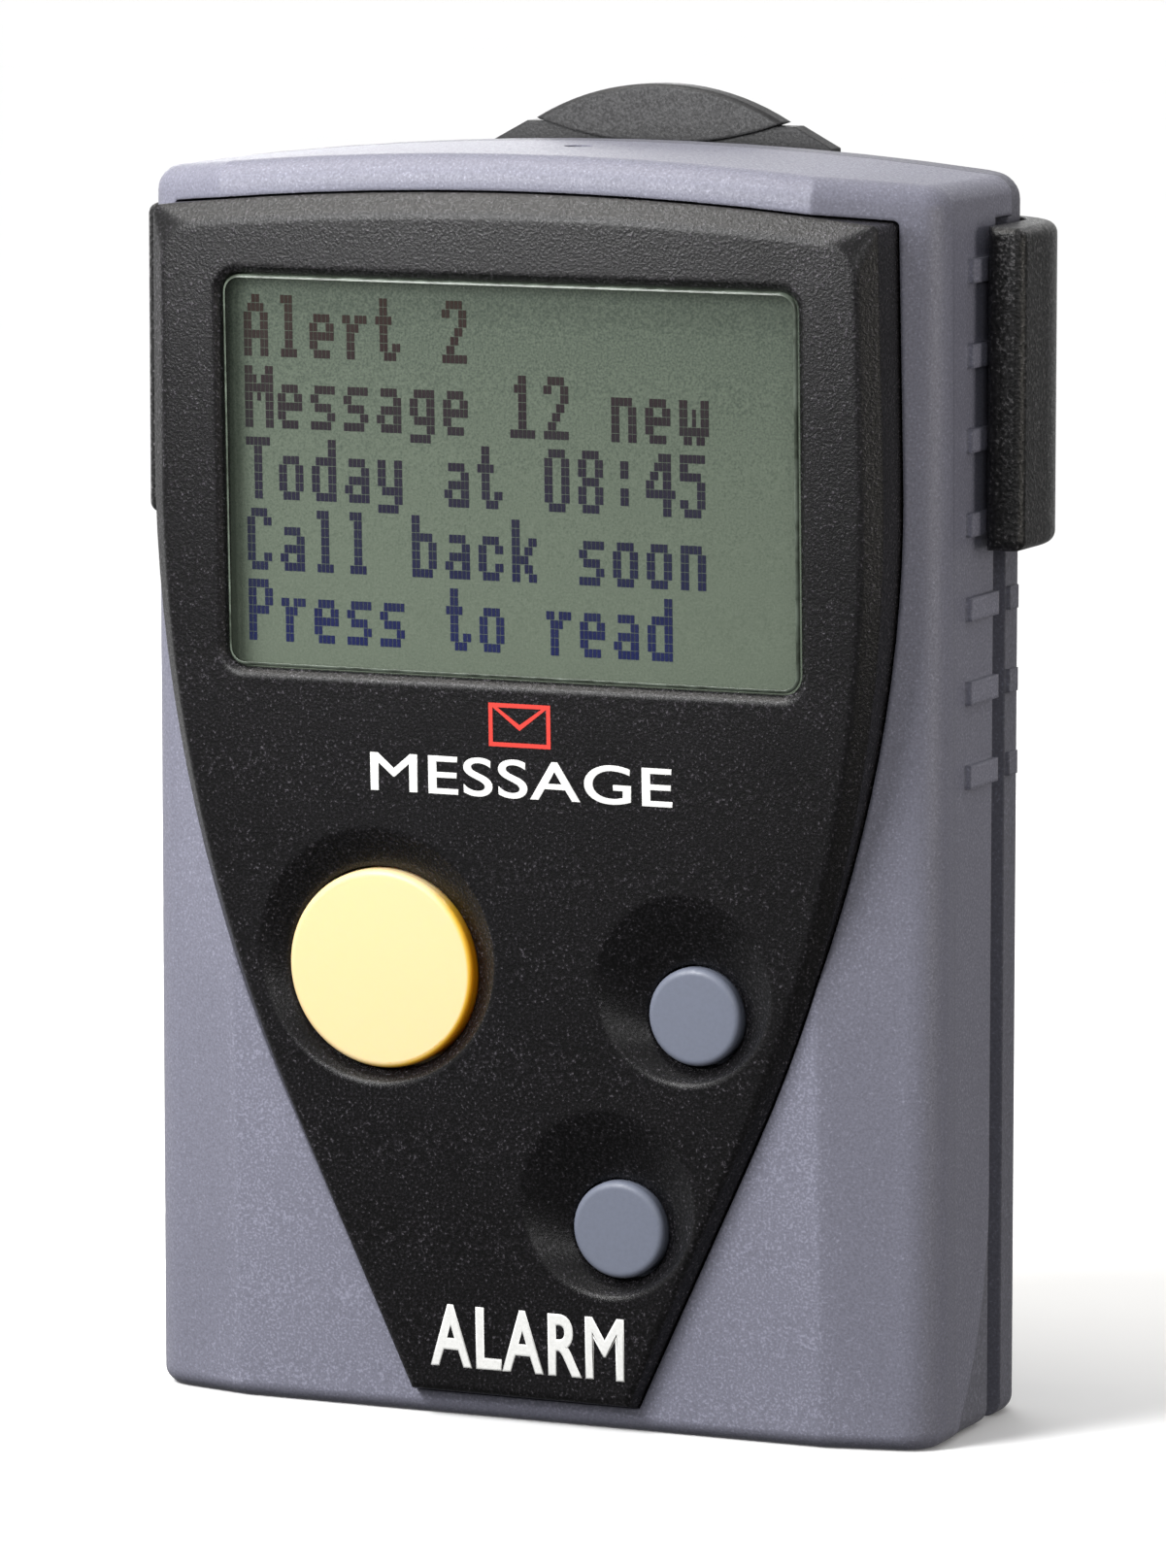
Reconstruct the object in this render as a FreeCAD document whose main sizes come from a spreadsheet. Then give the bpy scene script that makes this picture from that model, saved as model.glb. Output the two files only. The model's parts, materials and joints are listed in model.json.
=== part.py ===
import FreeCAD, Part
import math
import os
import Sketcher
from FreeCAD import Placement, Rotation, Vector

# Pager in its belt holder. Millimetres, +Z up, the display faces -Y, and the origin is the
# middle of the footprint at the height of the flat bottom. The front mask leans forward: its
# face lies at Y = -(mask_foot_depth + lean * Z).

DIMS = {
    # housing outline
    "half_width": 29.5,
    "body_height": 87.6,
    "top_arch_radius": 240,
    "flat_half_width": 21.9,
    "corner_radius": 3.0,
    "edge_radius": 1.8,
    "foot_radius": 1.2,
    "lean": 0.031,
    "front_foot_depth": 11.91,
    "corner_depth_foot": 10.27,
    "corner_depth_top": 9.37,
    "parting_y": 0.25,
    "parting_bend_z": 16,
    "parting_bend_radius": 24,
    "parting_foot_y": -5.85,
    "parting_gap": 0.1,
    "crown_z": 83.3,
    "crown_rear_y": 3.4,
    "panel_foot_depth": 6.1,
    "panel_lean": 0.0205,
    "panel_recess": 0.12,
    "side_wall": 1.9,
    "cavity_floor_z": 2.0,
    "cavity_top_z": 84.8,
    "front_cavity_y": -8.2,
    "front_well_y": -9.9,
    "front_well_half_width": 21,
    # side ribs, on both shells
    "rib_count": 7,
    "rib_top_z": 80.0,
    "rib_pitch": 5.72,
    "rib_height": 1.6,
    "rib_rise": 0.35,
    "rib_front_y": -4.9,
    # rear shell
    "rear_half_width": 29.3,
    "rear_y": 7.75,
    "rear_corner_radius": 3.2,
    "rear_cavity_y": 5.85,
    "groove_depth": 1.3,
    "groove_rear_y": 2.85,
    "groove_top_z": 83.2,
    "boss_x": 24.4,
    "boss_low_z": 24,
    "boss_high_z": 72,
    "boss_radius": 1.75,
    "front_boss_radius": 2.15,
    "boss_split_y": -1.0,
    "boss_web": 3.6,
    "screw_radius": 0.8,
    "screw_head_radius": 1.6,
    "screw_length": 9,
    "speaker_x": -17.5,
    "speaker_z": 38,
    "speaker_radius": 7.3,
    "slot_count": 5,
    "slot_width": 1.0,
    "slot_pitch": 2.2,
    "slot_length": 9,
    # front mask
    "mask_half_width": 27.4,
    "mask_top_half_width": 26.75,
    "mask_foot_half_width": 8.4,
    "mask_foot_z": 1.8,
    "mask_shoulder_z": 42.4,
    "mask_shoulder_radius": 104,
    "mask_side_top_z": 83.55,
    "mask_corner_radius": 0.4,
    "mask_foot_depth": 13.3,
    "mask_back_y": -8.6,
    "mask_web_y": -10.7,
    "mask_bay_y": -13.9,
    "mask_gap": 0.14,
    "mask_wall": 1.3,
    "mask_foot_inset": 0.3,
    "mask_side_inset": 1.15,
    "mask_top_inset": 1.35,
    "mask_bevel_depth": 1.1,
    "mask_ridge_corner_radius": 2.5,
    "mask_ridge_radius": 0.45,
    "bay_half_width": 23.9,
    "bay_low_z": 47.6,
    "bay_high_z": 82.0,
    # display
    "window_width": 42.8,
    "window_low_z": 51.9,
    "window_high_z": 79.2,
    "window_radius": 1.4,
    "window_bevel": 0.45,
    "lens_gap": 0.12,
    "lens_recess": 0.3,
    "lens_thickness": 1.1,
    "lens_bevel": 0.4,
    "lcd_width": 46,
    "lcd_low_z": 50.2,
    "lcd_high_z": 81.0,
    "lcd_depth": 2.0,
    "lcd_thickness": 1.8,
    "guide_width": 42.4,
    "guide_low_z": 52.0,
    "guide_high_z": 80.3,
    "guide_depth": 3.95,
    "guide_thickness": 1.2,
    "lcd_frame_front_y": -9.5,
    "lcd_frame_half_width": 22.0,
    "lcd_frame_bar": 1.9,
    "zebra_width": 40,
    "zebra_thickness": 1.3,
    # keys
    "key_gap": 0.2,
    "dish_floor_rim": 0.23,
    "key_rest_gap": 0.33,
    "key_flange_thickness": 0.75,
    "key_flange_rim": 0.8,
    "key_stem_y": -9.3,
    "key_edge_radius": 0.45,
    "alarm_key_x": -10.18,
    "alarm_key_z": 31.32,
    "alarm_key_radius": 6.95,
    "alarm_key_recess": 0.4,
    "alarm_dish_x": -0.07,
    "alarm_dish_z": 1.0,
    "alarm_dish_radius": 8.9,
    "alarm_dish_depth": 1.15,
    "small_key_radius": 3.4,
    "small_key_recess": 0.9,
    "small_dish_x": -0.4,
    "small_dish_z": 1.98,
    "small_dish_radius": 6.5,
    "small_dish_depth": 1.6,
    "upper_key_x": 13.03,
    "upper_key_z": 29.37,
    "lower_key_x": 7.22,
    "lower_key_z": 14.17,
    "mat_front_y": -8.6,
    "mat_thickness": 0.65,
    "mat_margin": 4.5,
    # board and what it carries
    "board_front_y": -6.5,
    "board_thickness": 1.2,
    "board_half_width": 21.8,
    "board_low_z": 4,
    "board_high_z": 83,
    "switch_side": 4.6,
    "switch_height": 1.0,
    "switch_button_radius": 1.1,
    "motor_radius": 3.0,
    "motor_length": 11,
    "motor_x": 5,
    "motor_y": -2.15,
    "motor_z": 37,
    "shaft_radius": 0.5,
    "weight_radius": 2.6,
    "weight_length": 4,
    "cell_radius": 5.25,
    "cell_length": 43.5,
    "cell_nub_radius": 1.9,
    "cell_nub_length": 1.0,
    "cell_x": -21.25,
    "cell_y": 0.45,
    "cell_z": 13,
    "antenna_radius": 3.0,
    "antenna_length": 40,
    "antenna_y": 0.6,
    "antenna_z": 78.6,
    "winding_radius": 4.0,
    "winding_length": 15,
    # battery door
    "door_half_width": 22,
    "door_rail": 1.0,
    "door_rail_thickness": 0.55,
    "door_front_y": 6.55,
    "door_low_z": 0.3,
    "door_high_z": 19,
    "door_gap": 0.12,
    # holder and clip
    "arm_inner_x": 30.05,
    "arm_thickness": 2.89,
    "arm_front_y": -3.7,
    "arm_lead_width": 0.6,
    "arm_lead_depth": 1.0,
    "arm_low_z": 61.0,
    "arm_high_z": 82.9,
    "arm_bend_inside": 4.4,
    "arm_bend_outside": 8.85,
    "arm_end_radius": 0.7,
    "arm_rim_radius": 0.8,
    "plate_front_y": 8.15,
    "plate_thickness": 1.8,
    "tongue_half_width": 13.5,
    "tongue_low_z": 27,
    "rail_reach": 1.25,
    "rail_thickness": 1.8,
    "pin_y": 12.2,
    "pin_z": 70,
    "pin_radius": 1.0,
    "pin_length": 23.2,
    "notch_low_z": 78,
    "lug_inner_x": 6.5,
    "lug_thickness": 2.4,
    "lug_radius": 2.0,
    "pivot_gap": 0.05,
    "lever_half_width": 13,
    "lever_front_y": 14.35,
    "lever_thickness": 1.6,
    "lever_low_z": 29,
    "lever_neck_z": 75,
    "lever_bend_z": 84,
    "lever_top_y": 11.2,
    "lever_foot_half_width": 8.5,
    "lever_taper_z": 37,
    "toe_height": 2.4,
    "toe_gap": 0.4,
    "lever_shoulder_z": 86.9,
    "lever_top_z": 88.4,
    "lever_top_half_width": 10.2,
    "tab_front_y": 10.75,
    "tab_thickness": 1.7,
    "tab_half_width": 9.4,
    "tab_middle_z": 88.65,
    "tab_rise": 2.55,
    "tab_drop": 1.6,
    "spring_wire": 0.35,
    "spring_radius": 1.5,
    "spring_turns": 5,
}

doc = FreeCAD.newDocument("Pager")
sheet = doc.addObject("Spreadsheet::Sheet", "dims")
for row, (alias, amount) in enumerate(DIMS.items(), start=1):
    sheet.set(f"A{row}", alias)
    sheet.set(f"B{row}", str(amount))
    sheet.setAlias(f"B{row}", alias)
doc.recompute()

AXES = {"x": Vector(1, 0, 0), "y": Vector(0, 1, 0), "z": Vector(0, 0, 1)}
LEAN_DEGREES = math.degrees(math.atan(DIMS["lean"]))


def value(expression):
    """The number that an expression over the sheet's cells gives."""
    return float(sheet.evalExpression(str(expression)))


def bind(thing, expressions):
    """Binds properties of a document object to expressions."""
    for name, expression in expressions.items():
        thing.setExpression(name, str(expression))


def place(thing, base):
    """Binds an object's position to three expressions."""
    bind(thing, {f"Placement.Base.{axis}": base[i] for i, axis in enumerate("xyz")})


def turned_to(axis):
    """The rotation that takes +Z to the named axis."""
    return Rotation(AXES["z"], AXES[axis])


def block(name, low, size):
    """A Part::Box from its lowest corner and its size along X, Y and Z."""
    box = doc.addObject("Part::Box", name)
    bind(box, dict(zip(("Length", "Width", "Height"), size)))
    place(box, low)
    return box


def rod(name, base, axis, radius, length):
    """A Part::Cylinder that starts at base and runs along an axis."""
    cylinder = doc.addObject("Part::Cylinder", name)
    cylinder.Placement = Placement(Vector(), turned_to(axis))
    bind(cylinder, {"Radius": radius, "Height": length})
    place(cylinder, base)
    return cylinder


def ring(name, centre, axis, radius, wire):
    """A Part::Torus about an axis."""
    torus = doc.addObject("Part::Torus", name)
    torus.Placement = Placement(Vector(), turned_to(axis))
    bind(torus, {"Radius1": radius, "Radius2": wire})
    place(torus, centre)
    return torus


def cut(name, base, tool):
    """base less tool."""
    result = doc.addObject("Part::Cut", name)
    result.Base = base
    result.Tool = tool
    return result


def fused(name, *shapes):
    """One solid from several that touch."""
    result = doc.addObject("Part::MultiFuse", name)
    result.Shapes = list(shapes)
    result.Refine = True
    return result


def group(name, *shapes):
    """Several separate solids as one object."""
    result = doc.addObject("Part::Compound", name)
    result.Links = list(shapes)
    return result


def origin_plane(body, role):
    """One of a body's three origin planes."""
    return next(f for f in body.Origin.OriginFeatures if f.Role == role)


def new_body(name):
    """An empty PartDesign body."""
    body = doc.addObject("PartDesign::Body", name)
    doc.recompute()
    return body


def new_sketch(body, name, role, offset="0"):
    """An empty sketch on an origin plane, moved along the plane's normal."""
    sketch = body.newObject("Sketcher::SketchObject", name)
    sketch.AttachmentSupport = [(origin_plane(body, role), "")]
    sketch.MapMode = "FlatFace"
    bind(sketch, {"AttachmentOffset.Base.z": offset})
    return sketch


def arc_between(start, end, radius):
    """A minor arc from start to end: a positive radius puts its centre to the left of the way."""
    chord = end - start
    left = Vector(-chord.y, chord.x, 0).normalize()
    to_centre = math.sqrt(radius**2 - (chord.Length / 2) ** 2)
    centre = (start + end) / 2 + left * math.copysign(to_centre, radius)
    first, last = (start, end) if radius > 0 else (end, start)
    angles = [math.atan2(p.y - centre.y, p.x - centre.x) for p in (first, last)]
    return Part.ArcOfCircle(Part.Circle(centre, AXES["z"], abs(radius)), *angles)


def outline(body, name, role, points, offset="0", arcs=None):
    """A closed sketch through points given as pairs of expressions.

    arcs maps a point's number to the radius of the arc that leaves it, an expression that is
    negative where the arc's centre is to the right of the way."""
    sketch = new_sketch(body, name, role, offset)
    arcs = arcs or {}
    corners = [Vector(value(u), value(v), 0) for u, v in points]
    count = len(corners)
    for i, start in enumerate(corners):
        end = corners[(i + 1) % count]
        if i in arcs:
            sketch.addGeometry(arc_between(start, end, value(arcs[i])), False)
        else:
            sketch.addGeometry(Part.LineSegment(start, end), False)
    leaving = [sketch_end(sketch, i, corner) for i, corner in enumerate(corners)]
    for i in range(count):
        arriving = 3 - leaving[i]
        following = (i + 1) % count
        sketch.addConstraint(
            Sketcher.Constraint("Coincident", i, arriving, following, leaving[following]))
    for i, (u, v) in enumerate(points):
        for kind, expression in (("DistanceX", u), ("DistanceY", v)):
            number = sketch.addConstraint(
                Sketcher.Constraint(kind, i, leaving[i], value(expression)))
            bind(sketch, {f"Constraints[{number}]": expression})
    for i, radius in arcs.items():
        number = sketch.addConstraint(Sketcher.Constraint("Radius", i, abs(value(radius))))
        bind(sketch, {f"Constraints[{number}]": f"abs({radius})"})
    return sketch


def sketch_end(sketch, number, corner):
    """Which end of a sketch's curve, 1 or 2, lies at a corner."""
    curve = sketch.Geometry[number]
    return 1 if (curve.StartPoint - corner).Length < (curve.EndPoint - corner).Length else 2


def circle(body, name, role, centre, radius, offset="0"):
    """A sketch that holds one circle."""
    sketch = new_sketch(body, name, role, offset)
    shape = Part.Circle(Vector(value(centre[0]), value(centre[1]), 0), AXES["z"], value(radius))
    sketch.addGeometry(shape, False)
    for kind, expression in (("DistanceX", centre[0]), ("DistanceY", centre[1])):
        number = sketch.addConstraint(Sketcher.Constraint(kind, 0, 3, value(expression)))
        bind(sketch, {f"Constraints[{number}]": expression})
    number = sketch.addConstraint(Sketcher.Constraint("Radius", 0, value(radius)))
    bind(sketch, {f"Constraints[{number}]": radius})
    return sketch


def rectangle(body, name, role, low, high, offset="0"):
    """A sketch that holds one rectangle from its low and high corners."""
    (u0, v0), (u1, v1) = low, high
    return outline(body, name, role, [(u0, v0), (u1, v0), (u1, v1), (u0, v1)], offset)


def mirrored(half):
    """An outline that is symmetric about its second axis, from the points of its right half."""
    return half + [(f"-({u})", v) for u, v in reversed(half)]


def pad(body, name, sketch, length, midplane=False):
    """Adds a prism along the sketch's normal."""
    feature = body.newObject("PartDesign::Pad", name)
    feature.Profile = sketch
    feature.Midplane = midplane
    bind(feature, {"Length": length})
    doc.recompute()
    return feature


def pocket(body, name, sketch, length, reverse=False, midplane=False):
    """Cuts a prism against the sketch's normal, or along it where reverse is true."""
    before = body.Shape.Volume
    feature = body.newObject("PartDesign::Pocket", name)
    feature.Profile = sketch
    feature.Reversed = reverse
    feature.Midplane = midplane
    bind(feature, {"Length": length})
    doc.recompute()
    if body.Shape.Volume > before - 1e-3:
        raise RuntimeError(f"{name} cuts nothing")
    return feature


def edges_where(body, test):
    """Names of the edges of a body's last feature whose middle point and end points pass test."""
    names = []
    for number, edge in enumerate(body.Tip.Shape.Edges, start=1):
        first, last = edge.ParameterRange
        middle = edge.valueAt((first + last) / 2)
        ends = [vertex.Point for vertex in edge.Vertexes]
        if test(middle, ends):
            names.append(f"Edge{number}")
    return names


def soften(body, name, kind, test, size):
    """A fillet or a chamfer on the edges that pass test."""
    base = body.Tip
    names = edges_where(body, test)
    if not names:
        raise RuntimeError(f"{name} finds no edge")
    feature = body.newObject(f"PartDesign::{kind}", name)
    feature.Base = (base, names)
    bind(feature, {"Radius" if kind == "Fillet" else "Size": size})
    doc.recompute()
    return feature


def near(a, b, tolerance=0.02):
    """Whether two lengths agree."""
    return abs(a - b) < tolerance


# ---------------------------------------------------------------- housing
TALL = "(dims.body_height + 4)"
SCREW_PLACES = [(sx, z) for sx in (-1, 1) for z in ("dims.boss_low_z", "dims.boss_high_z")]


def arch_height(x):
    """Height of the arched top at a distance from the middle, as an expression."""
    drop = f"(dims.top_arch_radius - sqrt(dims.top_arch_radius ^ 2 - ({x}) ^ 2))"
    return f"(dims.body_height - {drop})"


def trim_top(body, name):
    """Cuts a housing down to the arched top."""
    reach = "(dims.half_width + 2)"
    points = [
        (f"-{reach}", arch_height(reach)),
        (reach, arch_height(reach)),
        (reach, "dims.body_height + 8"),
        (f"-{reach}", "dims.body_height + 8"),
    ]
    sketch = outline(body, f"{name}_arch", "XZ_Plane", points,
                     arcs={0: "-dims.top_arch_radius"})
    pocket(body, f"{name}_top", sketch, "80", midplane=True)


def front_plan(body, name, height, corner_depth):
    """Plan outline of the front housing at a height, with its faceted front and round corners."""
    front = f"(dims.front_foot_depth + dims.lean * {height})"
    run = "(dims.half_width - dims.flat_half_width)"
    fall = f"({front} - {corner_depth})"
    slope = f"atan({fall} / {run})"
    tangent = f"(dims.corner_radius * tan((90 deg - {slope}) / 2))"
    half = [
        ("dims.flat_half_width", f"-{front}"),
        (f"(dims.half_width - {tangent} * cos({slope}))",
         f"(-{corner_depth} - {tangent} * sin({slope}))"),
        ("dims.half_width", f"({tangent} - {corner_depth})"),
        ("dims.half_width", "dims.crown_rear_y"),
    ]
    return outline(body, name, "XY_Plane", mirrored(half), height,
                   arcs={1: "dims.corner_radius", 5: "dims.corner_radius"})


def parting_side():
    """Side view of the region behind the parting line, which bends forward near the bottom
    and steps back above the holder's grooves."""
    return [
        ("dims.parting_foot_y", "0"),
        ("dims.parting_foot_y", "-3"),
        ("30", "-3"),
        ("30", TALL),
        ("dims.crown_rear_y", TALL),
        ("dims.crown_rear_y", "dims.crown_z"),
        ("dims.parting_y", "dims.crown_z"),
        ("dims.parting_y", "dims.parting_bend_z"),
    ]


def mask_points(grow):
    """Right half of the mask's shield outline, moved outward by grow, without its round corners."""
    return [
        (f"(dims.mask_foot_half_width + {grow} * 0.65)", f"(dims.mask_foot_z - {grow})"),
        (f"(dims.mask_half_width + {grow})", f"(dims.mask_shoulder_z - {grow} * 0.65)"),
        (f"(dims.mask_top_half_width + {grow})", f"(dims.mask_side_top_z + {grow})"),
    ]


def shield(body, name, grow, offset):
    """The mask's outline on a plane parallel to XZ."""
    points = mirrored(mask_points(grow))
    return outline(body, name, "XZ_Plane", points, offset,
                   arcs={2: f"(dims.top_arch_radius + {grow})"})


def round_shield(body, name, grow, feature_test):
    """Rounds the shoulders and the top corners of a shield-shaped prism or hole."""
    points = [(value(u), value(v)) for u, v in mask_points(grow)]

    def at_point(index):
        u, v = points[index]
        return lambda m, ends: (
            near(abs(m.x), u) and near(m.z, v) and all(near(abs(p.x), u) for p in ends)
            and feature_test(m))

    soften(body, f"{name}_shoulders", "Fillet", at_point(1), "dims.mask_shoulder_radius")
    soften(body, f"{name}_corners", "Fillet", at_point(2), "dims.mask_corner_radius")


def rib(name, side, number, front_y, rear_y, wall_x):
    """One raised rib on a side wall."""
    centre = f"(dims.rib_top_z - {number} * dims.rib_pitch)"
    low_x = f"({wall_x} - 0.3)" if side > 0 else f"-({wall_x} + dims.rib_rise)"
    return block(
        name,
        (low_x, front_y, f"{centre} - dims.rib_height / 2"),
        ("dims.rib_rise + 0.3", f"({rear_y}) - ({front_y})", "dims.rib_height"))


def ribbed(label, body, front_y, rear_y, wall_x, first=0):
    """A housing with its row of ribs on both sides."""
    ribs = []
    for side in (-1, 1):
        for number in range(first, DIMS["rib_count"]):
            name = f"{label}_rib_{'left' if side < 0 else 'right'}_{number + 1}"
            ribs.append(rib(name, side, number, front_y, rear_y, wall_x))
    return fused(label, body, *ribs)


def front_shell():
    """Front housing: faceted outside, hollow inside, with the shield-shaped hole for the mask."""
    body = new_body("front_shell_body")
    loft = body.newObject("PartDesign::AdditiveLoft", "front_block")
    loft.Profile = front_plan(body, "front_foot", "0", "dims.corner_depth_foot")
    loft.Sections = [front_plan(body, "front_crown", TALL, "dims.corner_depth_top")]
    loft.Ruled = True
    doc.recompute()
    trim_top(body, "front")
    behind = outline(body, "front_parting", "YZ_Plane", parting_side(),
                     arcs={7: "-dims.parting_bend_radius"})
    pocket(body, "front_parting_cut", behind, "80", midplane=True)
    crown_rear = value("dims.crown_rear_y")

    def is_top_rim(middle, ends):
        return middle.z > 84 and not all(near(p.y, crown_rear) for p in ends)

    soften(body, "front_top_round", "Fillet", is_top_rim, "dims.edge_radius")
    foot_rear = value("dims.parting_foot_y")
    soften(body, "front_foot_round", "Fillet",
           lambda m, ends: near(m.z, 0) and not all(near(p.y, foot_rear) for p in ends),
           "dims.foot_radius")
    for sign, hand in ((-1, "left"), (1, "right")):
        panel = outline(body, f"side_panel_{hand}", "YZ_Plane", [
            ("-dims.panel_foot_depth", "-1"),
            ("dims.crown_rear_y + 2", "-1"),
            ("dims.crown_rear_y + 2", TALL),
            (f"-(dims.panel_foot_depth + dims.panel_lean * ({TALL} + 1))", TALL)],
            f"{sign} * (dims.half_width - dims.panel_recess)")
        pocket(body, f"side_panel_{hand}_cut", panel, "2", reverse=sign > 0)
    depth = "dims.parting_y + dims.half_width"
    side = "(dims.rear_half_width - dims.groove_depth - dims.side_wall + 0.2)"
    hollow = rectangle(body, "front_hollow", "XZ_Plane",
                       (f"-{side}", "dims.cavity_floor_z"), (side, "dims.cavity_top_z"),
                       "-(dims.crown_rear_y + 1)")
    pocket(body, "front_hollow_cut", hollow, "dims.crown_rear_y + 1 - dims.front_cavity_y",
           reverse=True)
    well = rectangle(body, "front_well", "XZ_Plane",
                     ("-dims.front_well_half_width", "dims.cavity_floor_z"),
                     ("dims.front_well_half_width", "dims.mask_shoulder_z"), "0")
    pocket(body, "front_well_cut", well, "-dims.front_well_y", reverse=True)
    hole = shield(body, "front_hole", "dims.mask_gap", "0")
    pocket(body, "front_hole_cut", hole, depth, reverse=True)
    round_shield(body, "front_hole", "dims.mask_gap", lambda m: m.y < 0)
    dimple = circle(body, "front_dimple", "XY_Plane", ("0", "-3.0"), "1.0", "dims.body_height - 0.6")
    pocket(body, "front_dimple_cut", dimple, "3", reverse=True)
    ribs = ribbed("front_shell_solid", body, "dims.rib_front_y", "dims.parting_y - 0.05",
                  "dims.half_width")
    front = "(dims.front_cavity_y + 0.3)"
    depth = f"dims.boss_split_y - {front}"
    posts = []
    for i, (sx, z) in enumerate(SCREW_PLACES):
        x = f"{sx} * dims.boss_x"
        posts.append(rod(f"front_post_{i}", (x, front, z), "y", "dims.front_boss_radius", depth))
        web_x = x if sx > 0 else f"{x} - dims.boss_web"
        posts.append(block(f"front_web_{i}", (web_x, front, f"{z} - 1"),
                           ("dims.boss_web", depth, "2")))
    holes = [rod(f"front_post_hole_{i}", (f"{sx} * dims.boss_x", "dims.front_cavity_y + 2", z),
                 "y", "dims.screw_radius + 0.01", "20")
             for i, (sx, z) in enumerate(SCREW_PLACES)]
    whole = fused("front_shell_posts", ribs, *posts)
    return cut("front_shell", whole, fused("front_shell_holes", *holes))


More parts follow.
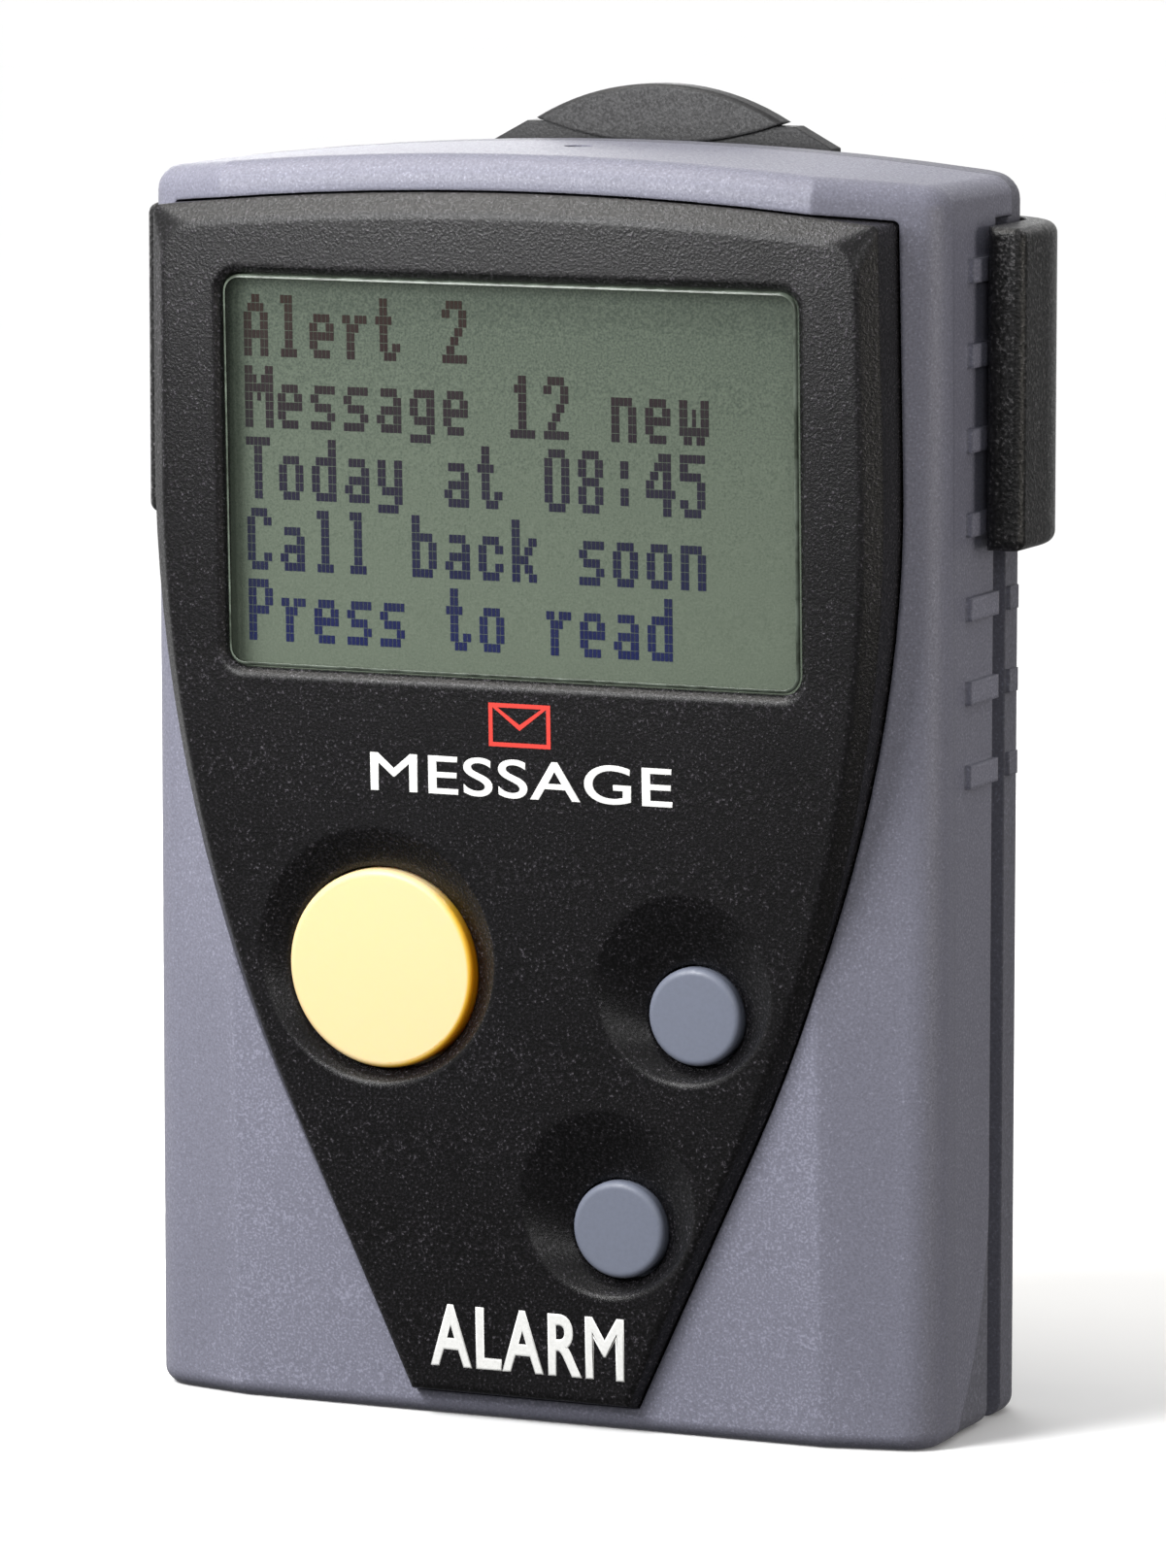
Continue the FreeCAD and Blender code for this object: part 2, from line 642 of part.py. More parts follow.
def rear_shell():
    """Rear housing: a tray with holder grooves, screw posts, sounder slots and the door's rails."""
    body = new_body("rear_shell_body")
    half = [
        ("dims.rear_half_width", "dims.parting_foot_y - 1"),
        ("dims.rear_half_width", "dims.rear_y"),
    ]
    plan = outline(body, "rear_plan", "XY_Plane", mirrored(half))
    pad(body, "rear_block", plan, TALL)
    half_width = value("dims.rear_half_width")
    rear_y = value("dims.rear_y")
    soften(body, "rear_corners", "Fillet",
           lambda m, ends: near(abs(m.x), half_width) and near(m.y, rear_y) and m.z > 20,
           "dims.rear_corner_radius")
    block_front = value("dims.parting_foot_y - 1")
    soften(body, "rear_foot_round", "Fillet",
           lambda m, ends: near(m.z, 0) and not all(near(p.y, block_front) for p in ends),
           "dims.foot_radius")
    trim_top(body, "rear")
    front_side = [
        ("(dims.parting_foot_y + dims.parting_gap)", "0"),
        ("(dims.parting_y + dims.parting_gap)", "dims.parting_bend_z"),
        ("(dims.parting_y + dims.parting_gap)", "dims.crown_z - dims.parting_gap"),
        ("(dims.crown_rear_y + dims.parting_gap)", "dims.crown_z - dims.parting_gap"),
        ("(dims.crown_rear_y + dims.parting_gap)", TALL),
        ("-30", TALL),
        ("-30", "-3"),
        ("(dims.parting_foot_y + dims.parting_gap)", "-3"),
    ]
    front_region = outline(body, "rear_parting", "YZ_Plane", front_side,
                           arcs={0: "dims.parting_bend_radius"})
    pocket(body, "rear_parting_cut", front_region, "80", midplane=True)
    crown_front = value("dims.crown_rear_y + dims.parting_gap")
    soften(body, "rear_top_round", "Fillet",
           lambda m, ends: m.z > 84 and not all(near(p.y, crown_front) for p in ends),
           "dims.edge_radius")
    side = "(dims.rear_half_width - dims.groove_depth - dims.side_wall + 0.2)"
    hollow = rectangle(body, "rear_hollow", "XZ_Plane",
                       (f"-{side}", "dims.cavity_floor_z"), (side, "dims.cavity_top_z"),
                       "-dims.rear_cavity_y")
    pocket(body, "rear_hollow_cut", hollow, "20", reverse=True)
    for hand, low, high in (
            ("right", "dims.rear_half_width - dims.groove_depth", "dims.rear_half_width + 3"),
            ("left", "-(dims.rear_half_width + 3)",
             "-(dims.rear_half_width - dims.groove_depth)")):
        groove = rectangle(body, f"groove_{hand}", "XY_Plane",
                           (low, "dims.parting_y + 0.05"), (high, "dims.groove_rear_y"), "-1")
        pocket(body, f"groove_{hand}_cut", groove, "dims.groove_top_z + 1", reverse=True)
    for number in range(DIMS["slot_count"]):
        shift = f"({number} - (dims.slot_count - 1) / 2) * dims.slot_pitch"
        middle = f"(dims.speaker_z + {shift})"
        slot = rectangle(
            body, f"slot_{number + 1}", "XZ_Plane",
            ("dims.speaker_x - dims.slot_length / 2", f"{middle} - dims.slot_width / 2"),
            ("dims.speaker_x + dims.slot_length / 2", f"{middle} + dims.slot_width / 2"),
            "-(dims.rear_y + 1)")
        pocket(body, f"slot_{number + 1}_cut", slot, "5", reverse=True)
    door_steps = [
        ("door_way", "dims.door_half_width + dims.door_gap", "-1", "dims.rear_y + 1",
         "dims.door_high_z + dims.door_gap", "dims.rear_y + 1 - dims.door_front_y"),
        ("rail_way", "dims.door_half_width + dims.door_rail + dims.door_gap", "-1",
         "dims.door_front_y + dims.door_rail_thickness + dims.door_gap",
         "dims.door_high_z + dims.door_gap", "dims.door_rail_thickness + 2 * dims.door_gap"),
        ("cell_way", "dims.door_half_width - 0.5", "4", "dims.rear_y",
         "dims.door_high_z - 0.5", "dims.rear_y - dims.rear_cavity_y + 0.5"),
    ]
    for name, half_span, low_z, start_y, high_z, length in door_steps:
        opening = rectangle(body, name, "XZ_Plane", (f"-({half_span})", low_z),
                            (half_span, high_z), f"-({start_y})")
        pocket(body, f"{name}_cut", opening, length, reverse=True)
    for sign, hand in ((-1, "left"), (1, "right")):
        pad_hole = circle(body, f"charge_hole_{hand}", "XY_Plane", (f"{sign * 9}", "2.6"),
                          "1.55", "-1")
        pocket(body, f"charge_hole_{hand}_cut", pad_hole, "5", reverse=True)
    posts = [rod(f"post_{i}", (f"{sx} * dims.boss_x", "dims.boss_split_y + 0.1", z), "y",
                 "dims.boss_radius", "dims.rear_cavity_y + 0.1 - dims.boss_split_y")
             for i, (sx, z) in enumerate(SCREW_PLACES)]
    holes = [rod(f"post_hole_{i}", (f"{sx} * dims.boss_x", "-3", z), "y",
                 "dims.screw_radius + 0.01", "30")
             for i, (sx, z) in enumerate(SCREW_PLACES)]
    sinks = [rod(f"head_sink_{i}", (f"{sx} * dims.boss_x", "dims.rear_y - 1.2", z), "y",
                 "dims.screw_head_radius + 0.1", "5")
             for i, (sx, z) in enumerate(SCREW_PLACES)]
    ribs = ribbed("rear_shell_solid", body, "dims.groove_rear_y + 0.05", "dims.rear_y - 3.3",
                  "dims.rear_half_width")
    whole = fused("rear_shell_posts", ribs, *posts)
    return cut("rear_shell", whole, fused("rear_shell_holes", *holes, *sinks))


def housing_screws():
    """Four screws that close the housing, with countersunk round heads."""
    screws = []
    for i, (sx, z) in enumerate(SCREW_PLACES):
        x = f"{sx} * dims.boss_x"
        head = rod(f"screw_head_{i}", (x, "dims.rear_y - 1.2", z), "y",
                   "dims.screw_head_radius", "1.0")
        shank = rod(f"screw_shank_{i}", (x, "dims.rear_y - 1.2 - dims.screw_length", z), "y",
                    "dims.screw_radius", "dims.screw_length + 0.2")
        bit = block(f"screw_slot_{i}", (f"{x} - 1.3", "dims.rear_y - 0.65", f"{z} - 0.2"),
                    ("2.6", "2", "0.4"))
        screws.append(cut(f"screw_{i}", fused(f"screw_body_{i}", head, shank), bit))
    return group("housing_screws", *screws)


# ---------------------------------------------------------------- mask, display and keys
def face_y(z):
    """Depth of the mask's leaning face at a height, as an expression."""
    return f"(-dims.mask_foot_depth - dims.lean * ({z}))"


def lean_back(thing):
    """Turns an object so that its own Y axis points along the mask's inward normal."""
    thing.Placement = Placement(Vector(), Rotation(AXES["x"], LEAN_DEGREES))


KEYS = {
    "alarm_key": ("alarm_key", "alarm_key", "alarm_dish"),
    "upper_key": ("upper_key", "small_key", "small_dish"),
    "lower_key": ("lower_key", "small_key", "small_dish"),
}


def leaning_circle(body, name, key, centre, radius, depth):
    """A circle parallel to the mask's face, about a key's axis, some depth behind the face."""
    x, z = f"dims.{key}_x", f"dims.{key}_z"
    sketch = circle(body, name, "XZ_Plane", centre, radius)
    sketch.AttachmentOffset = Placement(Vector(), Rotation(AXES["x"], LEAN_DEGREES))
    bind(sketch, {
        "AttachmentOffset.Base.x": x,
        "AttachmentOffset.Base.y": z,
        "AttachmentOffset.Base.z": f"-{face_y(z)} - ({depth})"})
    return sketch


def mask_section(body, name, insets, corner_radius, depth=None):
    """The mask's shield outline with round shoulders and top corners.

    insets brings it inward at the foot, the sides and the top. It lies at the mask's back, or
    at a depth behind the leaning face if one is given."""
    foot_inset, side_inset, top_inset = insets
    foot_x = f"(dims.mask_foot_half_width - {foot_inset})"
    foot_z = f"(dims.mask_foot_z + {foot_inset})"
    side_x = f"(dims.mask_half_width - {side_inset})"
    top_x = f"(dims.mask_top_half_width - {side_inset})"
    top_z = f"(dims.mask_side_top_z - {top_inset})"
    low = f"atan(({side_x} - {foot_x}) / (dims.mask_shoulder_z - {foot_z}))"
    high = f"atan(({side_x} - {top_x}) / ({top_z} - dims.mask_shoulder_z))"
    arch = f"asin({top_x} / dims.top_arch_radius)"
    run = f"(dims.mask_shoulder_radius * tan(({low} + {high}) / 2))"
    turn = f"({corner_radius} * tan((90 deg - {arch} - {high}) / 2))"
    stretch = "1" if depth is None else "sqrt(1 + dims.lean ^ 2)"
    half = [
        (foot_x, foot_z),
        (f"({side_x} - {run} * sin({low}))", f"(dims.mask_shoulder_z - {run} * cos({low}))"),
        (f"({side_x} - {run} * sin({high}))", f"(dims.mask_shoulder_z + {run} * cos({high}))"),
        (f"({top_x} + {turn} * sin({high}))", f"({top_z} - {turn} * cos({high}))"),
        (f"({top_x} - {turn} * cos({arch}))", f"({top_z} + {turn} * sin({arch}))"),
    ]
    points = mirrored([(u, f"({v} * {stretch})") for u, v in half])
    shoulder = "dims.mask_shoulder_radius"
    sketch = outline(body, name, "XZ_Plane", points, "-dims.mask_back_y",
                     arcs={1: shoulder, 3: corner_radius, 4: "dims.top_arch_radius",
                           5: corner_radius, 7: shoulder})
    if depth is not None:
        sketch.AttachmentOffset = Placement(Vector(), Rotation(AXES["x"], LEAN_DEGREES))
        bind(sketch, {"AttachmentOffset.Base.z": f"-{face_y('0')} - ({depth})"})
    return sketch


def front_mask():
    """Shield-shaped mask: leaning face, bevelled display opening and a dish round each key."""
    body = new_body("front_mask")
    loft = body.newObject("PartDesign::AdditiveLoft", "mask_block")
    loft.Profile = mask_section(body, "mask_back", ("0", "0", "0"), "dims.mask_corner_radius")
    loft.Sections = [
        mask_section(body, "mask_bevel_foot", ("0", "0", "0"), "dims.mask_corner_radius",
                     depth="dims.mask_bevel_depth"),
        mask_section(body, "mask_ridge",
                     ("dims.mask_foot_inset", "dims.mask_side_inset", "dims.mask_top_inset"),
                     "dims.mask_ridge_corner_radius", depth="0"),
    ]
    loft.Ruled = True
    doc.recompute()

    def on_face(middle, ends):
        return all(near(p.y, -DIMS["mask_foot_depth"] - DIMS["lean"] * p.z) for p in ends)

    soften(body, "mask_ridge_round", "Fillet", on_face, "dims.mask_ridge_radius")
    inner = shield(body, "mask_inside", "-dims.mask_wall", "-(dims.mask_back_y + 1)")
    pocket(body, "mask_inside_cut", inner, "dims.mask_back_y + 1 - dims.mask_web_y",
           reverse=True)
    bay = rectangle(body, "mask_bay", "XZ_Plane", ("-dims.bay_half_width", "dims.bay_low_z"),
                    ("dims.bay_half_width", "dims.bay_high_z"), "-(dims.mask_back_y + 1)")
    pocket(body, "mask_bay_cut", bay, "dims.mask_back_y + 1 - dims.mask_bay_y", reverse=True)
    window = rectangle(body, "window", "XZ_Plane",
                       ("-dims.window_width / 2", "dims.window_low_z"),
                       ("dims.window_width / 2", "dims.window_high_z"),
                       "-(dims.mask_back_y + 1)")
    pocket(body, "window_cut", window, "20", reverse=True)
    half_window = value("dims.window_width / 2")
    window_span = (value("dims.window_low_z"), value("dims.window_high_z"))

    def window_corner(middle, ends):
        return near(abs(middle.x), half_window) and any(near(middle.z, z) for z in window_span)

    soften(body, "window_corners", "Fillet", window_corner, "dims.window_radius")

    def window_rim(middle, ends):
        inside = abs(middle.x) < half_window + 0.1 and (
            window_span[0] - 0.1 < middle.z < window_span[1] + 0.1)
        return inside and on_face(middle, ends)

    soften(body, "window_bevel", "Chamfer", window_rim, "dims.window_bevel")
    for name, (place_name, size_name, dish_name) in KEYS.items():
        rim = leaning_circle(body, f"{name}_rim", place_name,
                             (f"dims.{dish_name}_x", f"dims.{dish_name}_z"),
                             f"dims.{dish_name}_radius + 0.05", "-0.02")
        floor = leaning_circle(body, f"{name}_floor", place_name, ("0", "0"),
                               f"dims.{size_name}_radius + dims.dish_floor_rim",
                               f"dims.{dish_name}_depth")
        before = body.Shape.Volume
        dish = body.newObject("PartDesign::SubtractiveLoft", f"{name}_dish")
        dish.Profile = rim
        dish.Sections = [floor]
        dish.Ruled = True
        doc.recompute()
        if body.Shape.Volume > before - 1:
            raise RuntimeError(f"{name}_dish cuts nothing")
        hole = circle(body, f"{name}_hole", "XZ_Plane",
                      (f"dims.{place_name}_x", f"dims.{place_name}_z"),
                      f"dims.{size_name}_radius + dims.key_gap", "-(dims.mask_back_y + 1)")
        pocket(body, f"{name}_hole_cut", hole, "20", reverse=True)
    return body


def leaning_plate(name, width, low_z, high_z, depth, thickness):
    """A flat plate parallel to the mask's face."""
    plate = doc.addObject("Part::Box", name)
    lean_back(plate)
    bind(plate, {"Length": width, "Width": thickness, "Height": f"{high_z} - ({low_z})"})
    place(plate, (f"-({width}) / 2", f"{face_y(low_z)} + {depth}", low_z))
    return plate


def display_lens():
    """Clear lens with round corners and a bevel all round its front."""
    body = new_body("display_lens")
    half_width = "(dims.window_width / 2 - dims.lens_gap)"
    height = "(dims.window_high_z - dims.window_low_z - 2 * dims.lens_gap)"
    shape = rectangle(body, "lens_outline", "XZ_Plane", (f"-{half_width}", "0"),
                      (half_width, height))
    pad(body, "lens_block", shape, "dims.lens_thickness")
    soften(body, "lens_corners", "Fillet",
           lambda m, ends: near(abs(m.x), value(half_width)) and not near(m.y, ends[0].y),
           "dims.window_radius - dims.lens_gap")
    thickness = value("dims.lens_thickness")
    soften(body, "lens_bevel", "Chamfer",
           lambda m, ends: all(near(p.y, -thickness) for p in (m, *ends)), "dims.lens_bevel")
    lean_back(body)
    low_z = "(dims.window_low_z + dims.lens_gap)"
    place(body, ("0", f"{face_y(low_z)} + dims.lens_recess + dims.lens_thickness", low_z))
    return body


def lcd_frame():
    """Moulded frame that stands on the board and carries the display and its light guide."""
    depth = "dims.board_front_y - dims.lcd_frame_front_y"
    low_z = "(dims.lcd_low_z - dims.lcd_frame_bar - 0.4)"
    high_z = "(dims.lcd_high_z + 1)"
    outer = block("lcd_frame_block",
                  ("-dims.lcd_frame_half_width", "dims.lcd_frame_front_y", low_z),
                  ("2 * dims.lcd_frame_half_width", depth, f"{high_z} - {low_z}"))
    inner = block("lcd_frame_window",
                  ("-dims.lcd_frame_half_width + dims.lcd_frame_bar",
                   "dims.lcd_frame_front_y - 1", f"{low_z} + dims.lcd_frame_bar"),
                  ("2 * (dims.lcd_frame_half_width - dims.lcd_frame_bar)", f"{depth} + 2",
                   f"{high_z} - {low_z} - 2 * dims.lcd_frame_bar"))
    return cut("lcd_frame", outer, inner)


def zebra_strip():
    """Rubber connector between the display's lower ledge and the board."""
    low_z = "(dims.lcd_low_z + 0.15)"
    front = f"({face_y(low_z)} + dims.lcd_depth + dims.lcd_thickness + 0.06)"
    return block("zebra_strip", ("-dims.zebra_width / 2", front, low_z),
                 ("dims.zebra_width", f"dims.board_front_y - {front}", "dims.zebra_thickness"))


def round_key(name):
    """A key: domed-edge cap, retaining flange behind the mask and a stem towards its switch."""
    place_name, size_name, _ = KEYS[name]
    z = f"dims.{place_name}_z"
    cap = f"dims.{size_name}_radius"
    front = f"({face_y(z)} + dims.{size_name}_recess)"
    web = f"(dims.mask_web_y + dims.key_rest_gap - {front})"
    flange = f"({web} + dims.key_flange_thickness)"
    stem = f"(dims.key_stem_y - {front})"
    body = new_body(name)
    profile = outline(body, f"{name}_profile", "YZ_Plane", [
        ("0", "0"),
        (stem, "0"),
        (stem, f"{cap} * 0.4"),
        (flange, f"{cap} * 0.4"),
        (flange, f"{cap} + dims.key_flange_rim"),
        (web, f"{cap} + dims.key_flange_rim"),
        (web, cap),
        ("0", cap),
    ])
    turned = body.newObject("PartDesign::Revolution", f"{name}_turned")
    turned.Profile = profile
    turned.ReferenceAxis = (profile, ["H_Axis"])
    bind(turned, {"Angle": "360"})
    doc.recompute()
    soften(body, f"{name}_edge", "Fillet",
           lambda m, ends: all(near(p.y, 0) for p in (m, *ends))
           and near(math.hypot(m.x, m.z), value(cap)),
           "dims.key_edge_radius")
    lean_back(body)
    place(body, (f"dims.{place_name}_x", front, z))
    return body


def keypad_mat():
    """Silicone mat with a plunger over each switch."""
    sheet_low = "(dims.lower_key_z - dims.mat_margin)"
    sheet_high = "(dims.alarm_key_z + dims.mat_margin + 2.5)"
    left = "(dims.alarm_key_x - dims.mat_margin - 2.5)"
    right = "(dims.upper_key_x + dims.mat_margin)"
    mat = block("mat_sheet", (left, "dims.mat_front_y", sheet_low),
                (f"{right} - {left}", "dims.mat_thickness", f"{sheet_high} - {sheet_low}"))
    button_top = "(dims.board_front_y - dims.switch_height - 0.25)"
    reach = f"({button_top} - 0.03 - dims.mat_front_y)"
    plungers = [
        rod(f"{name}_plunger", (f"dims.{name}_x", "dims.mat_front_y", f"dims.{name}_z"), "y",
            "1.3", reach)
        for name in KEYS]
    return fused("keypad_mat", mat, *plungers)


def key_switch(key):
    """A square tactile switch with its round button, on the board under a key."""
    name = key.replace("key", "switch")
    x, z = f"dims.{key}_x", f"dims.{key}_z"
    half = "dims.switch_side / 2"
    can = block(f"{name}_can",
                (f"{x} - {half}", "dims.board_front_y - dims.switch_height", f"{z} - {half}"),
                ("dims.switch_side", "dims.switch_height", "dims.switch_side"))
    button = rod(f"{name}_button",
                 (x, "dims.board_front_y - dims.switch_height - 0.25", z), "y",
                 "dims.switch_button_radius", "0.5")
    return fused(name, can, button)


# ---------------------------------------------------------------- board and its parts
BOARD_REAR = "(dims.board_front_y + dims.board_thickness)"


def on_board(name, low_x, low_z, width, height, thickness):
    """A block that stands on the rear of the board."""
    return block(name, (low_x, BOARD_REAR, low_z), (width, thickness, height))


def main_board():
    """The printed circuit board, notched round the screw posts."""
    return block("main_board", ("-dims.board_half_width", "dims.board_front_y",
                                "dims.board_low_z"),
                 ("2 * dims.board_half_width", "dims.board_thickness",
                  "dims.board_high_z - dims.board_low_z"))


def shield_can():
    """Pressed receiver cover with a row of round vents."""
    cover = on_board("can_block", "-20", "50", "19", "21", "2.6")
    inside = block("can_inside", ("-19.8", f"{BOARD_REAR} - 1", "50.2"), ("18.6", "3.4", "20.6"))
    vents = [rod(f"can_vent_{i}_{j}", (f"{-17.5 + 3.5 * i}", BOARD_REAR, f"{54 + 4.3 * j}"),
                 "y", "0.7", "5") for i in range(5) for j in range(4)]
    return cut("shield_can", cut("can_shell", cover, inside), fused("can_vents", *vents))


def chip(name, low_x, low_z, side, legs):
    """A packaged circuit with legs along both sides."""
    package = block(f"{name}_package", (f"{low_x}", f"{BOARD_REAR} + 0.12", f"{low_z}"),
                    (f"{side}", "1.1", f"{side}"))
    pitch = side / legs
    feet = [block(f"{name}_foot_{i}", (f"{low_x} - 0.7", BOARD_REAR,
                                       f"{low_z + pitch * (i + 0.3)}"),
                  (f"{side} + 1.4", "0.25", f"{pitch * 0.4}")) for i in range(legs)]
    return fused(name, package, *feet)


def crystal():
    """Reference crystal: a low oval can."""
    middle = block("crystal_middle", ("16.4", BOARD_REAR, "57"), ("2.6", "2.2", "6"))
    ends = [rod(f"crystal_end_{i}", ("17.7", BOARD_REAR, f"{z}"), "y", "1.3", "2.2")
            for i, z in enumerate((57, 63))]
    return fused("crystal", middle, *ends)


def ferrite_antenna():
    """Ferrite rod that receives the paging signal."""
    return rod("ferrite_antenna", ("-dims.antenna_length / 2", "dims.antenna_y",
                                   "dims.antenna_z"),
               "x", "dims.antenna_radius", "dims.antenna_length")


def antenna_winding():
    """Copper winding round the middle of the ferrite rod, ridged by its turns."""
    start = "-dims.winding_length / 2"
    centre = ("dims.antenna_y", "dims.antenna_z")
    tube = rod("winding_tube", (start, *centre), "x", "dims.winding_radius - 0.25",
               "dims.winding_length")
    turns = 20
    rings = [ring(f"winding_turn_{i}",
                  (f"{start} + ({i} + 0.5) * dims.winding_length / {turns}", *centre), "x",
                  "dims.winding_radius - 0.3", "0.34") for i in range(turns)]
    bore = rod("winding_bore", (f"{start} - 1", *centre), "x", "dims.antenna_radius + 0.05",
               "dims.winding_length + 2")
    return cut("antenna_winding", fused("winding_turns", tube, *rings), bore)


def vibration_motor():
    """The motor's can, and its shaft with the eccentric weight that turns."""
    centre = ("dims.motor_y", "dims.motor_z")
    can = rod("motor_case", ("dims.motor_x", *centre), "x", "dims.motor_radius",
              "dims.motor_length")
    bore = rod("motor_bore", ("dims.motor_x + 3", *centre), "x", "dims.shaft_radius + 0.05",
               "dims.motor_length")
    shaft = rod("motor_shaft", ("dims.motor_x + 3.5", *centre), "x", "dims.shaft_radius",
                "dims.motor_length + 1.3")
    weight_x = "dims.motor_x + dims.motor_length + 0.6"
    disc = rod("weight_disc", (weight_x, *centre), "x", "dims.weight_radius",
               "dims.weight_length")
    gap = block("weight_gap", (f"{weight_x} - 1", "dims.motor_y - 4",
                               "dims.motor_z + dims.shaft_radius + 0.4"),
                ("dims.weight_length + 2", "8", "8"))
    return [cut("motor_can", can, bore),
            fused("motor_weight", shaft, cut("weight_half", disc, gap))]


def sounder():
    """Round sounder behind the slots of the rear shell, with its raised centre."""
    depth = "(dims.rear_cavity_y - 0.1)"
    drum = rod("sounder_drum", ("dims.speaker_x", f"{depth} - 4", "dims.speaker_z"), "y",
               "dims.speaker_radius", "3.6")
    hub = rod("sounder_hub", ("dims.speaker_x", f"{depth} - 1", "dims.speaker_z"), "y",
              "2.4", "1")
    return fused("sounder", drum, hub)


def battery():
    """The cell and its two contacts."""
    centre = ("dims.cell_y", "dims.cell_z")
    jacket = rod("cell_jacket", ("dims.cell_x", *centre), "x", "dims.cell_radius",
                 "dims.cell_length")
    nub = rod("cell_nub", ("dims.cell_x + dims.cell_length - 0.2", *centre), "x",
              "dims.cell_nub_radius", "dims.cell_nub_length + 0.2")
    plus_x = "(dims.cell_x + dims.cell_length + dims.cell_nub_length + 0.08)"
    plate = block("contact_plate", (plus_x, "dims.cell_y - 3.5", "dims.cell_z - 4"),
                  ("0.4", "7", "8"))
    turns = 5
    wire = 0.4
    coils = [ring(f"contact_coil_{i}",
                  (f"dims.cell_x - 0.5 - {i} * {1.9 * wire}", *centre), "x",
                  f"2 + 0.4 * {i}", f"{wire}") for i in range(turns)]
    foot = block("contact_foot", (f"dims.cell_x - 0.5 - {turns} * {1.9 * wire}",
                                  "dims.cell_y - 3.5", "dims.cell_z - 4"), ("0.4", "7", "8"))
    links = [block(f"contact_link_{i}", (f"dims.cell_x - 0.5 - {turns - 0.5} * {1.9 * wire}",
                                         f"dims.cell_y + {side} * 2.8 - 0.9",
                                         "dims.cell_z - 0.3"),
                   (f"{(turns - 0.5) * 1.9 * wire}", "1.8", "0.6"))
             for i, side in enumerate((-1, 1))]
    return [fused("battery_cell", jacket, nub), plate,
            fused("contact_spring", *coils, foot, *links)]


def battery_door():
    """Door that slides down off the cell, on a rail at each side, with a ribbed thumb grip."""
    half = "dims.door_half_width"
    leaf = block("door_leaf", (f"-{half}", "dims.door_front_y", "dims.door_low_z"),
                 (f"2 * {half}", "dims.rear_y - dims.door_front_y",
                  "dims.door_high_z - dims.door_low_z"))
    rails = block("door_rails", (f"-({half} + dims.door_rail)", "dims.door_front_y",
                                 "dims.door_low_z"),
                  (f"2 * ({half} + dims.door_rail)", "dims.door_rail_thickness",
                   "dims.door_high_z - dims.door_low_z"))
    grooves = [block(f"door_grip_{i}", ("-6", "dims.rear_y - 0.3", f"{11 + 1.4 * i}"),
                     ("12", "1", "0.7")) for i in range(4)]
    return cut("battery_door", fused("door_plate", leaf, rails), fused("door_grips", *grooves))


def charge_contacts():
    """Two gilt charging pads in the bottom of the rear shell."""
    pads = [rod(f"charge_pad_{i}", (f"{x}", "2.6", "0.1"), "z", "1.5", "2.2")
            for i, x in enumerate((-9, 9))]
    return group("charge_contacts", *pads)


# ---------------------------------------------------------------- belt holder and clip
PLATE_REAR = "(dims.plate_front_y + dims.plate_thickness)"
LEVER_REAR = "(dims.lever_front_y + dims.lever_thickness)"
PIVOT = ("dims.pin_y", "dims.pin_z")


def on_pivot(name, start, radius, length):
    """A cylinder on the clip's pivot axis."""
    return rod(name, (start, *PIVOT), "x", radius, length)


